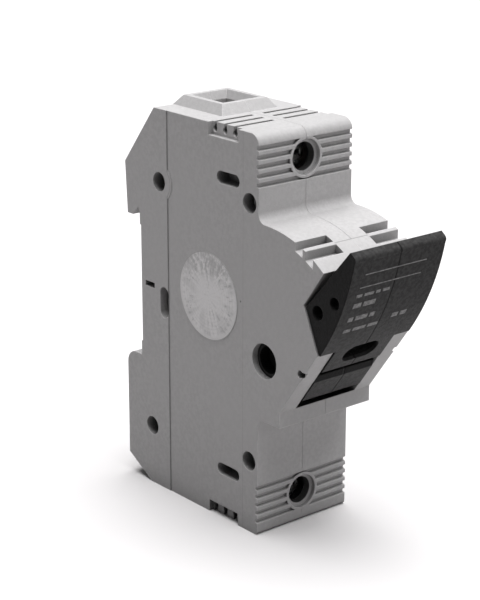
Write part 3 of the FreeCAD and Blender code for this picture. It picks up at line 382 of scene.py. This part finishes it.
def moulded(name, base, roughness, grain, edge, seam, seam_width=0.07 * MM, marks=None,
            depths=None, mottle=0.93, gloss=0.5, wear_and_highlight=0.3, reach=8 * MM,
            hollows=(0.58, 0.20), depth=0.8):
    """Moulded plastic with fine grain, flow marks, worn edges under a painted highlight, parting
    line and painted shade in corners and hollows.

    grain is the texture's height, edge the radius of the rounded edges that carry the painted
    highlight, seam the parting line's strength and seam_width half its width, mottle the darker
    speckles' share of the colour, gloss the specular level, reach and hollows the size and
    openness of what gets painted shade, depth how dark that painted shade gets. marks and depths
    add lines and painted-shade hollows of one part.
    """
    material, n, place, axes = start_material(name)
    rounded, lean = edge_light(n, edge)
    flow = n.noise(place, FLOW_NOISE, 3.0)
    fine = n.noise(place, GRAIN_NOISE, 2.0, 0.6)
    speck = n.noise(place, SPECK_NOISE)
    patch = n.noise(place, WEAR_HIGHLIGHT_NOISE)
    darker, lighter = (grey(base * shade) for shade in FLOW_SHADES)
    wear_and_edge_highlight = grey(min(base * WORN_HIGHLIGHT_SHADE + WORN_HIGHLIGHT_LIFT, WORN_HIGHLIGHT_LIMIT))

    shade = n.mix(n.remap(flow, 0.35, 0.65), darker, lighter)
    shade = n.mix(n.remap(speck, 0.35, 0.65), shade, grey(base * mottle))
    # Painted highlight along the rounded edges, broken up in patches like wear
    shade = n.mix(n.times(lean, n.remap(patch, 0.3, 0.6, 0.45, 1.0), wear_and_highlight), shade, wear_and_edge_highlight)
    lines = n.times(line_at(n, axes["X"], 0.0, seam_width), seam)
    if marks is not None:
        lines = marks(n, axes, lines)
    shade = n.mix(n.times(lines, LINE_SHARE), shade, grey(base * LINE_SHADE))
    # Painted shade in corners and grooves, by how open the face is
    open_share = openness(n, reach)
    soft = n.remap(open_share, *SOFT_OPENNESS, 0.0, SOFT_SHARE)
    shade = n.mix(soft, shade, grey(base * SOFT_PAINTED_SHADE))
    # Painted shade deep in hollows and in the part's own dark zones
    hollow = n.remap(open_share, *hollows, 0.0, depth)
    if depths is not None:
        hollow = n.highest(hollow, n.times(depths(n, axes), HOLLOW_SHARE))
    shade = n.mix(hollow, shade, grey(base * HOLLOW_PAINTED_SHADE))

    height = n.math("SUBTRACT", n.times(fine, grain), n.times(lines, LINE_DEPTH))
    polish = n.remap(flow, 0.3, 0.7, roughness - 0.04, roughness + 0.05)
    n.surface(shade, polish, n.bump(height, rounded), gloss)
    return material


METAL_EDGE = 0.2 * MM
METAL_REACH = 6 * MM
BRUSH_STRETCH = 0.06
BRUSH_HEIGHT = 0.005 * MM
BRUSH_NOISE, TARNISH_NOISE = 3000.0, 160.0
# Tones as shares of the colour: dull tarnish, painted edge highlight, painted shade in hollows
DULL, EDGE_HIGHLIGHT, SHADOWED = 0.55, 1.25, 0.04


def metal(name, colour, roughness, brush_axis=None, tarnish=0.25):
    """Bare or plated metal with drawing marks along brush_axis, a little tarnish, a painted
    highlight on its edges and painted shade in its hollows.
    """
    material, n, place, _ = start_material(name)
    stretch = n.add("ShaderNodeMapping")
    n.join(place, stretch.inputs["Vector"])
    scale = [1.0, 1.0, 1.0]
    if brush_axis is not None:
        scale[brush_axis] = BRUSH_STRETCH
    stretch.inputs["Scale"].default_value = scale
    rounded, lean = edge_light(n, METAL_EDGE)
    marks = n.noise(stretch.outputs[0], BRUSH_NOISE, 3.0, 0.6)
    cloud = n.noise(place, TARNISH_NOISE, 3.0, 0.6)

    def tone(share):
        return tuple(min(c * share, 1.0) for c in colour) + (1.0,)

    shade = n.mix(n.remap(cloud, 0.45, 0.75, 0.0, tarnish), tone(1.0), tone(DULL))
    # Painted highlight along the rounded edges
    shade = n.mix(n.times(lean, 0.4), shade, tone(EDGE_HIGHLIGHT))
    # Painted shade deep in holes and gaps
    hollow = n.remap(openness(n, METAL_REACH), 0.75, 0.25, 0.0, 0.92)
    shade = n.mix(hollow, shade, tone(SHADOWED))
    polish = n.remap(marks, 0.3, 0.7, roughness - 0.07, roughness + 0.10)
    n.surface(shade, polish, n.bump(n.times(marks, BRUSH_HEIGHT), rounded), metallic=1.0)
    return material


def ceramic(name):
    """White glazed tube with faint speckles."""
    warm, white, speckle = ((0.78, 0.77, 0.73, 1.0), (0.84, 0.83, 0.80, 1.0),
                            (0.45, 0.43, 0.40, 1.0))
    material, n, place, _ = start_material(name)
    speck = n.noise(place, 1400.0, 1.0)
    cloud = n.noise(place, 90.0)
    shade = n.mix(n.remap(cloud, 0.3, 0.7), warm, white)
    shade = n.mix(n.remap(speck, 0.70, 0.80, 0.0, 0.5), shade, speckle)
    n.surface(shade, n.remap(cloud, 0.3, 0.7, 0.22, 0.34), n.bump(n.times(speck, 0.02 * MM)))
    return material


def print_ink(name):
    """Pale pad-printed ink, a little worn and broken up by the grain under it."""
    fresh, rubbed, dusty = grey(0.30), grey(0.10), grey(0.12)
    material, n, place, _ = start_material(name)
    worn = n.noise(place, 1500.0, 3.0, 0.65)
    patch = n.noise(place, 260.0)
    shade = n.mix(n.remap(worn, 0.42, 0.62, 0.0, 0.7), fresh, rubbed)
    shade = n.mix(n.remap(patch, 0.55, 0.75, 0.0, 0.5), shade, dusty)
    polish = n.remap(worn, 0.3, 0.7, 0.45, 0.65)
    n.surface(shade, polish, n.bump(n.times(worn, 0.01 * MM)), gloss=0.3)
    return material


# Label: where the print, the cut edge, the darker upper part and the pale core fade in
LABEL_FIELD = (9.9 * MM, 8.9 * MM)
LABEL_CUT = (9.95 * MM, 10.12 * MM)
LABEL_UPPER = (2.0 * MM, 7.5 * MM)
LABEL_CORE = (6.0 * MM, 3.0 * MM)

# Rings of the label: radius, half width and strength
RIM_RING = (9.75 * MM, 0.16 * MM, 0.15)
INNER_RING = (7.6 * MM, 0.12 * MM, 0.10)
TICK_RING = (8.7 * MM, 0.62 * MM, 0.20)
TICKS = 34.0

# Radians of the fine rings' wave, and steps of the rays' noise, both for each metre outwards
FINE_RINGS = 7500.0
RAY_CHANGE = 60.0


def ray_noise(n, across, rise, radius):
    """Fine and broad noise that runs in rays from the middle."""
    bearing = n.add("ShaderNodeCombineXYZ")
    n.join(n.math("DIVIDE", across, radius), bearing.inputs["X"])
    n.join(n.math("DIVIDE", rise, radius), bearing.inputs["Y"])
    n.join(n.times(radius, RAY_CHANGE), bearing.inputs["Z"])
    return n.noise(bearing.outputs[0], 7.0, 3.0, 0.7), n.noise(bearing.outputs[0], 2.2, 1.0)


def label_print(name):
    """Pale foil sticker: plain rays round its middle, fine rings and a row of ticks at the rim."""
    material, n, place, axes = start_material(name)
    low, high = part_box("round_label")
    middle = (low + high) / 2
    across = n.math("SUBTRACT", axes["Y"], middle.y)
    rise = n.math("SUBTRACT", axes["Z"], middle.z)
    radius = n.length(across, rise)
    angle = n.math("ARCTAN2", rise, across)
    rays, broad = ray_noise(n, across, rise, radius)
    grain = n.noise(place, 1500.0, 2.0, 0.6)

    field = n.remap(radius, *LABEL_FIELD)
    fine_rings = n.remap(n.math("SINE", n.times(radius, FINE_RINGS)), 0.2, 0.9)
    upper = n.times(n.remap(rise, *LABEL_UPPER), n.remap(rays, 0.62, 0.42))
    core = n.times(n.remap(radius, *LABEL_CORE), n.remap(broad, 0.36, 0.52))
    teeth = n.remap(n.math("SINE", n.times(angle, TICKS)), 0.1, 0.7)

    pale, ink = grey(0.97), grey(0.42)
    shade = n.mix(n.remap(grain, 0.3, 0.7, 0.0, 0.4), grey(0.91), grey(0.84))
    for share, tone in (
        (n.times(field, n.remap(rays, 0.46, 0.58)), pale),
        (n.times(field, n.remap(rays, 0.44, 0.34), 0.7), grey(0.52)),
        (n.times(field, n.remap(broad, 0.52, 0.62), 0.30), grey(0.55)),
        (n.times(fine_rings, field, 0.12), ink),
        (n.times(upper, 0.7), grey(0.46)),
        (n.times(core, 0.7), pale),
        (drawn(n, radius, *RIM_RING), ink),
        (drawn(n, radius, *INNER_RING), ink),
        (drawn(n, radius, *TICK_RING, teeth), ink),
        (n.times(n.remap(radius, *LABEL_CUT), 0.75), ink),
    ):
        shade = n.mix(share, shade, tone)
    n.surface(shade, n.remap(rays, 0.3, 0.7, 0.36, 0.50), n.bump(n.times(grain, 0.01 * MM)))
    return material


# hollows and depth set each moulding's painted shade, and the wear setting its painted edge
# highlight
HOUSING = moulded("grey_moulding", 0.54, 0.52, 0.045 * MM, 0.30 * MM, 0.45,
                  marks=housing_lines, depths=housing_painted_shade, wear_and_highlight=0.9,
                  hollows=(0.42, 0.14), depth=0.95)
CARRIER = moulded("black_moulding", 0.057, 0.50, 0.10 * MM, 0.30 * MM, 1.0,
                  depths=carrier_depths, seam_width=0.34 * MM, mottle=0.60, gloss=0.06, wear_and_highlight=0.16,
                  reach=9 * MM, hollows=(0.78, 0.30), depth=0.95)
CLIP = moulded("clip_moulding", 0.10, 0.45, 0.03 * MM, 0.2 * MM, 0.0, gloss=0.4)
STEEL = metal("plated_steel", (0.62, 0.62, 0.61), 0.30)
# The rivet steel is near black as painted shade: the rivet heads sit deep in their wells
RIVET = metal("rivet_steel_in_painted_shade", (0.16, 0.16, 0.16), 0.42)
COPPER = metal("tinned_copper", (0.70, 0.50, 0.38), 0.32, brush_axis=0)
SILVER = metal("silvered_brass", (0.78, 0.77, 0.74), 0.26, tarnish=0.15)
SPRING = metal("spring_steel", (0.50, 0.50, 0.50), 0.25)
CERAMIC = ceramic("white_ceramic")
LABEL = label_print("label_print")
INK = print_ink("pale_ink")


def give(material, *nodes):
    """Give some solids one material."""
    for name in nodes:
        data = frame["nodes"][name].data
        data.materials.clear()
        data.materials.append(material)


give(HOUSING, "left_shell", "right_shell")
give(CARRIER, "carrier_left_half", "carrier_right_half")
give(CLIP, "rail_clip")
give(STEEL, "upper_terminal_cage", "lower_terminal_cage")
give(COPPER, "upper_contact", "lower_contact")
give(SPRING, "fuse_grip_spring", "upper_jaw_spring", "lower_jaw_spring")
give(CERAMIC, "fuse_body")
give(LABEL, "round_label")


# Fine pieces in mesh code
SAME_POINT = 0.001 * MM
SHARP_EDGE = math.radians(32)


def add_piece(name, points, faces, material, body, slot, *replaced):
    """Smooth-shaded mesh that rides on a body and may stand for some solids."""
    data = bpy.data.meshes.new(name)
    data.from_pydata([tuple(point) for point in points], [], faces)
    bm = bmesh.new()
    bm.from_mesh(data)
    bmesh.ops.remove_doubles(bm, verts=bm.verts, dist=SAME_POINT)
    bmesh.ops.recalc_face_normals(bm, faces=bm.faces)
    for face in bm.faces:
        face.smooth = True
    for edge in bm.edges:
        if len(edge.link_faces) == 2 and edge.calc_face_angle() > SHARP_EDGE:
            edge.smooth = False
    bm.to_mesh(data)
    bm.free()
    data.materials.append(material)
    piece = bpy.data.objects.new(name, data)
    bpy.context.scene.collection.objects.link(piece)
    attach(piece, body)
    if replaced:
        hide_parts(*replaced)
    return piece


def ways_out(axis, steps):
    """Function that gives the direction square to an axis at each step of a turn."""
    side = Vector((1, 0.1, 0))
    first = (side - axis * side.dot(axis)).normalized()
    second = axis.cross(first)

    def at(step):
        turn = 2 * math.pi * step / steps
        return first * math.cos(turn) + second * math.sin(turn)

    return at


def band(here, there, count, closed=True):
    """Faces between two rows of count points, given by their first points."""
    faces = []
    for k in range(count if closed else count - 1):
        after = (k + 1) % count
        faces.append((here + k, here + after, there + after, there + k))
    return faces


def lathe(profile, origin, axis, steps=48, closed=False):
    """Turn (radius, along) points about an axis. A closed profile makes a ring."""
    outward = ways_out(axis, steps)
    points, faces = [], []
    count = len(profile)
    for step in range(steps):
        out = outward(step)
        points.extend(origin + out * radius + axis * along for radius, along in profile)
    for step in range(steps):
        faces += band(step * count, (step + 1) % steps * count, count, closed)
    return points, faces


def coil(section, origin, axis, radius, rise, turns, steps=32):
    """Sweep a (out, along) section round an axis. rise gives the height at a share of the way."""
    outward = ways_out(axis, steps)
    points, faces = [], []
    count = len(section)
    total = int(turns * steps)
    for step in range(total + 1):
        out = outward(step)
        level = rise(step / total)
        points.extend(origin + out * (radius + away) + axis * (level + along)
                      for away, along in section)
    for step in range(total):
        faces += band(step * count, (step + 1) * count, count)
    faces.append(tuple(range(count)))
    faces.append(tuple(total * count + k for k in range(count)))
    return points, faces


def merge(*meshes):
    """Several (points, faces) meshes as one."""
    points, faces = [], []
    for more_points, more_faces in meshes:
        start = len(points)
        points.extend(more_points)
        faces.extend(tuple(start + k for k in face) for face in more_faces)
    return points, faces


def arc(middle, radius, start, end, steps):
    """Points of a round stretch, angles in degrees."""
    angles = (math.radians(start + (end - start) * k / steps) for k in range(steps + 1))
    return [(middle[0] + radius * math.cos(a), middle[1] + radius * math.sin(a))
            for a in angles]


# Clamp screws: cheese head with a cross recess and a rolled thread
HEAD_HEIGHT = 3.5 * MM
HEAD_CHAMFER = 0.45 * MM
FLUTES, STEPS_PER_FLUTE = 36, 4
FLUTE_DEPTH = 0.105 * MM
RECESS_HALF = 2.5 * MM
RECESS_SLOT = 0.5 * MM
RECESS_DEPTH = 1.9 * MM
BOTTOM_HALF, BOTTOM_SLOT = RECESS_HALF * 0.72, RECESS_SLOT * 0.6
THREAD_RADIUS = 3.0 * MM
THREAD_PITCH = 1.0 * MM
THREAD_DEPTH = 0.55 * MM
THREAD_FOOT = 0.05 * MM
CREST_HALF, ROOT_HALF = THREAD_PITCH * 0.08, THREAD_PITCH * 0.46
SCREW_TIP = 0.8 * MM
SHANK_START = HEAD_HEIGHT - 0.3 * MM
NECK_START = HEAD_HEIGHT - 0.2 * MM
NECK_END = HEAD_HEIGHT + THREAD_PITCH * 0.7
NECK_TAPER = 0.2 * MM


def cross_points(reach, slot):
    """Outline of a cross, seen along the screw, with its inner corners just off the slots."""
    corner = slot * 1.15
    quarter = [(reach, -slot), (reach, slot), (corner, corner)]
    points = []
    for turn in range(4):
        c, s = math.cos(turn * math.pi / 2), math.sin(turn * math.pi / 2)
        points.extend((x * c - z * s, x * s + z * c) for x, z in quarter)
    return points


def head_ring(origin, radius, along, flute_depth, steps):
    """Ring of points round the head, with flutes cut into it."""
    ring = []
    for step in range(steps):
        turn = 2 * math.pi * step / steps
        dent = 0.5 - 0.5 * math.cos(turn * FLUTES)
        out = radius - flute_depth * dent
        ring.append(origin + Vector((out * math.cos(turn), along, out * math.sin(turn))))
    return ring


def sunk_recess(origin, mouth, start):
    """Walls and bottom of the recess. start is the number of the mouth's first point."""
    bottom = cross_points(BOTTOM_HALF, BOTTOM_SLOT)
    corners = len(mouth)
    points = [origin + Vector((x, 0.0, z)) for x, z in mouth]
    points += [origin + Vector((x, RECESS_DEPTH, z)) for x, z in bottom]
    faces = band(start, start + corners, corners)
    faces.append(tuple(range(start + corners, start + 2 * corners)))
    return points, faces


def head_face(mouth, steps, start):
    """Face between rim and recess: each rim point joins the recess corner nearest in bearing."""
    full = 2 * math.pi
    bearings = [math.atan2(z, x) % full for x, z in mouth]

    def nearest(step):
        turn = full * step / steps
        return min(range(len(mouth)),
                   key=lambda k: abs((bearings[k] - turn + math.pi) % full - math.pi))

    faces = []
    for step in range(steps):
        after = (step + 1) % steps
        one, two = nearest(step), nearest(after)
        faces.append((step, after, start + one))
        if one != two:
            faces.append((after, start + two, start + one))
    return faces


def screw_head(origin, radius):
    """Head with a chamfered rim, straight flutes round it and the recess sunk in its face."""
    steps = FLUTES * STEPS_PER_FLUTE
    rings = ((radius - HEAD_CHAMFER, 0.0, 0.0),
             (radius, HEAD_CHAMFER, FLUTE_DEPTH),
             (radius, HEAD_HEIGHT - HEAD_CHAMFER, FLUTE_DEPTH),
             (radius - HEAD_CHAMFER, HEAD_HEIGHT, 0.0),
             (THREAD_RADIUS, HEAD_HEIGHT, 0.0))
    points, faces = [], []
    for ring in rings:
        points += head_ring(origin, *ring, steps)
    last = (len(rings) - 1) * steps
    for first in range(0, last, steps):
        faces += band(first, first + steps, steps)
    faces.append(tuple(range(last, last + steps)))

    mouth = cross_points(RECESS_HALF, RECESS_SLOT)
    start = len(points)
    recess_points, recess_faces = sunk_recess(origin, mouth, start)
    return points + recess_points, faces + recess_faces + head_face(mouth, steps, start)


def clamp_screw(node, body):
    """Head, plain neck, core and the thread, which ends half a pitch before the tip."""
    low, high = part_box(node)
    origin = Vector(((low.x + high.x) / 2, low.y, (low.z + high.z) / 2))
    length = high.y - low.y
    core = THREAD_RADIUS - THREAD_DEPTH
    shank = lathe([(0, SHANK_START), (core, SHANK_START), (core, length - SCREW_TIP),
                   (core - SCREW_TIP, length), (0, length)], origin, FRONT_TO_BACK)
    neck = lathe([(0, NECK_START), (THREAD_RADIUS, NECK_START), (THREAD_RADIUS, NECK_END),
                  (core, NECK_END + NECK_TAPER), (0, NECK_END + NECK_TAPER)],
                 origin, FRONT_TO_BACK)
    section = [(-THREAD_FOOT, -ROOT_HALF), (THREAD_DEPTH, -CREST_HALF),
               (THREAD_DEPTH, CREST_HALF), (-THREAD_FOOT, ROOT_HALF)]
    run = length - SCREW_TIP - NECK_END - THREAD_PITCH * 0.5
    thread = coil(section, origin, FRONT_TO_BACK, core, lambda share: NECK_END + run * share,
                  run / THREAD_PITCH)
    head = screw_head(origin, (high.x - low.x) / 2)
    points, faces = merge(head, shank, neck, thread)
    add_piece(node + "_threaded", points, faces, STEEL, body, "steel", node)


# Tubular rivets with rolled heads. Places are depth and height
RIVET_PLACES = ((-38.97 * MM, 27.4 * MM), (-38.97 * MM, -32.3 * MM),
                (-7.15 * MM, 25.9 * MM), (-3.4 * MM, -34.75 * MM))
RIVET_HEAD, RIVET_SHANK, RIVET_BORE = 2.05 * MM, 1.55 * MM, 0.9 * MM
RIVET_HEAD_HEIGHT = 0.8 * MM
RIVET_CHAMFER = 0.12 * MM
RIVET_FLARE = 0.8 * MM


def rolled_rivets():
    low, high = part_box("shell_rivets")
    half = high.x
    seat = half - RIVET_HEAD_HEIGHT
    roll = (RIVET_HEAD - RIVET_BORE) / 2
    crown = arc((RIVET_BORE + roll, half - roll), roll, 0, 180, 10)
    right = [(RIVET_SHANK, seat), (RIVET_HEAD - RIVET_CHAMFER, seat),
             (RIVET_HEAD, seat + RIVET_CHAMFER)]
    right += [(radius, min(along, half)) for radius, along in crown]
    right.append((RIVET_BORE, seat - RIVET_FLARE))
    left = [(radius, -along) for radius, along in reversed(right)]
    points, faces = merge(*(lathe(right + left, Vector((0, *place)), LEFT_TO_RIGHT, closed=True)
                            for place in RIVET_PLACES))
    add_piece("rolled_rivets", points, faces, RIVET, "housing", "steel", "shell_rivets")


# Coil of the rail clip, with a closed turn at each end
COIL_WIRE = 0.21 * MM
COIL_INSET = 0.22 * MM
COIL_TURNS = 8.0
CLOSED_RISE = COIL_WIRE * 2.05
WIRE_SIDES = 10


def clip_coil():
    low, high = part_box("rail_clip_spring")
    origin = Vector(((low.x + high.x) / 2, (low.y + high.y) / 2, low.z))
    length = high.z - low.z
    closed_turn = 1.0 / COIL_TURNS

    def rise(share):
        if share < closed_turn:
            return COIL_WIRE + CLOSED_RISE * share / closed_turn
        if share > 1 - closed_turn:
            return length - COIL_WIRE - CLOSED_RISE * (1 - share) / closed_turn
        inner = (share - closed_turn) / (1 - 2 * closed_turn)
        return COIL_WIRE + CLOSED_RISE + (length - 2 * COIL_WIRE - 2 * CLOSED_RISE) * inner

    section = arc((0.0, 0.0), COIL_WIRE, 0, 360 - 360 / WIRE_SIDES, WIRE_SIDES - 1)
    radius = (high.x - low.x) / 2 - COIL_INSET
    points, faces = coil(section, origin, UPWARD, radius, rise, COIL_TURNS)
    piece = add_piece("clip_coil", points, faces, SPRING, "housing", "steel",
                      "rail_clip_spring")
    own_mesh(piece)


# Fuse-link caps: drawn cups with a shallow dish, a rounded end and a crimp near the mouth
CAP_LENGTH, CAP_WALL, CAP_BEND = 13.8 * MM, 0.5 * MM, 0.9 * MM
DISH_DEPTH = 0.18 * MM
DISH_FLOOR, DISH_RIM = 0.55, 0.62
CRIMP_PLACE, CRIMP_DEPTH = 2.4 * MM, 0.22 * MM
CRIMP_HALF = 0.35 * MM
MOUTH_CHAMFER = 0.15 * MM


def fuse_caps():
    low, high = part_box("fuse_body")
    middle = (low + high) / 2
    cap_low, cap_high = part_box("fuse_upper_cap")
    radius = (cap_high.x - cap_low.x) / 2
    end = (cap_high.z - middle.z - radius * math.sin(TILT)) / math.cos(TILT)
    mouth = end - CAP_LENGTH
    crimp = mouth + CRIMP_PLACE
    inside = radius - CAP_WALL
    profile = [(0.0, end - DISH_DEPTH), (radius * DISH_FLOOR, end - DISH_DEPTH),
               (radius * DISH_RIM, end)]
    profile += arc((radius - CAP_BEND, end - CAP_BEND), CAP_BEND, 90, 0, 7)
    profile += [(radius, crimp + 2 * CRIMP_HALF), (radius - CRIMP_DEPTH, crimp + CRIMP_HALF),
                (radius - CRIMP_DEPTH, crimp - CRIMP_HALF), (radius, crimp - 2 * CRIMP_HALF),
                (radius, mouth + MOUTH_CHAMFER), (radius - MOUTH_CHAMFER, mouth),
                (inside, mouth), (inside, end - CAP_WALL), (0.0, end - CAP_WALL)]
    for name, side in (("upper", 1), ("lower", -1)):
        points, faces = lathe([(out, along * side) for out, along in profile], middle, ALONG, 64)
        add_piece(f"{name}_cap_drawn", points, faces, SILVER, "carrier", "silvered_cap",
                  f"fuse_{name}_cap")


# Plain printed bars on the carrier, where the real one has its markings
HANDLE_FRONT = 10.7 * MM
HANDLE_BOW = 58.0 * MM
BOW_START = 15.04 * MM
INK_HEIGHT = 0.015 * MM

# In millimetres. Rules: left, right and foot. Rows: left, top, height and the bars' lengths
RULES = ((-9.2, 8.4, 36.0), (-9.9, 7.6, 33.1))
RULE_HEIGHT = 0.22
RULE_COLUMNS, BAR_COLUMNS = 24, 4
ROWS = (
    (-10.2, 31.6, 0.7, (1.6, 2.6, 1.2, 2.0)),
    (-10.2, 29.4, 1.2, (2.2, 3.4)),
    (-10.2, 25.8, 1.2, (1.4, 3.4, 1.4)),
    (-10.0, 22.3, 0.9, (2.0, 3.6, 2.8)),
    (3.4, 23.6, 1.2, (1.8, 1.8)),
)
BAR_GAP = 0.7


def on_handle(x, up, height):
    """Point over the front of the handle."""
    rise = max(up - BOW_START, 0.0)
    front = HANDLE_FRONT - HANDLE_BOW + math.sqrt(HANDLE_BOW ** 2 - rise ** 2) + height
    return PIVOT + Vector((x, 0, 0)) + FORWARD * front + ALONG * up


def bar(left, right, low, high, columns):
    """Thin closed film over a rectangle of the handle, half sunk into it, in millimetres."""
    line = columns + 1
    points = [on_handle((left + (right - left) * column / columns) * MM, up * MM, height)
              for height in (INK_HEIGHT, -INK_HEIGHT)
              for up in (low, high)
              for column in range(line)]
    layer = 2 * line
    faces = []
    for corner in range(columns):
        face = (corner, corner + 1, corner + line + 1, corner + line)
        faces.append(face)
        faces.append(tuple(layer + k for k in face))
    border = list(range(line)) + list(reversed(range(line, 2 * line)))
    for here, there in zip(border, border[1:] + border[:1]):
        faces.append((here, there, layer + there, layer + here))
    return points, faces


def front_print():
    films = [bar(left, right, foot, foot + RULE_HEIGHT, RULE_COLUMNS)
             for left, right, foot in RULES]
    for left, top, height, lengths in ROWS:
        for length in lengths:
            films.append(bar(left, left + length, top - height, top, BAR_COLUMNS))
            left += length + BAR_GAP
    points, faces = merge(*films)
    add_piece("front_print", points, faces, INK, "carrier", "carrier_plastic")


clamp_screw("upper_terminal_screw", "upper_screw")
clamp_screw("lower_terminal_screw", "lower_screw")
rolled_rivets()
clip_coil()
fuse_caps()
front_print()


# Studio: pale floor, soft overhead light and a low soft fill from the front.
# Floor and backdrop show one value to the camera and light the part with another.
FLOOR_HALF = 6.0
FLOOR_LIT, FLOOR_SEEN = grey(0.31), grey(0.90)
WORLD_LIT, WORLD_SEEN = 0.06, 1.0

# Each light: name, strength, spread in degrees and the way towards it
LIGHTS = (
    ("soft_overhead", 1.29, 60.0, (0.08, -0.06, 1.0)),
    ("low_front_fill", 0.17, 50.0, (0.50, -1.0, 0.04)),
)


def add_sun(name, strength, spread, towards):
    lamp = bpy.data.lights.new(name, "SUN")
    lamp.energy = strength * math.pi
    lamp.angle = math.radians(spread)
    holder = bpy.data.objects.new(name, lamp)
    bpy.context.scene.collection.objects.link(holder)
    direction = Vector(towards).normalized()
    holder.matrix_world = direction.to_track_quat("Z", "Y").to_matrix().to_4x4()


def seen_straight(n):
    """1 for what the camera sees, also in gloss and through glass."""
    path = n.add("ShaderNodeLightPath")
    return n.highest(path.outputs["Is Camera Ray"], path.outputs["Is Glossy Ray"],
                     path.outputs["Is Transmission Ray"])


def add_floor():
    data = bpy.data.meshes.new("floor")
    half = FLOOR_HALF
    corners = ((-half, -half), (half, -half), (half, half), (-half, half))
    data.from_pydata([(x, y, FLOOR_LEVEL) for x, y in corners], [], [(0, 1, 2, 3)])
    floor = bpy.data.objects.new("floor", data)
    bpy.context.scene.collection.objects.link(floor)
    material = bpy.data.materials.new("floor_paper")
    material.use_nodes = True
    n = Nodes(material.node_tree)
    paper = n.add("ShaderNodeBsdfDiffuse")
    n.join(n.mix(seen_straight(n), FLOOR_LIT, FLOOR_SEEN), paper.inputs["Color"])
    n.finish(paper)
    data.materials.append(material)


def add_backdrop():
    world = bpy.data.worlds.new("studio")
    bpy.context.scene.world = world
    world.use_nodes = True
    n = Nodes(world.node_tree)
    light = n.add("ShaderNodeBackground")
    light.inputs["Color"].default_value = (1.0, 1.0, 1.0, 1.0)
    n.join(n.remap(seen_straight(n), 0.0, 1.0, WORLD_LIT, WORLD_SEEN), light.inputs["Strength"])
    out = n.add("ShaderNodeOutputWorld")
    n.join(light.outputs[0], out.inputs["Surface"])


add_camera()
add_floor()
add_backdrop()
for light in LIGHTS:
    add_sun(*light)

scene = bpy.context.scene
scene.view_settings.view_transform = "Standard"
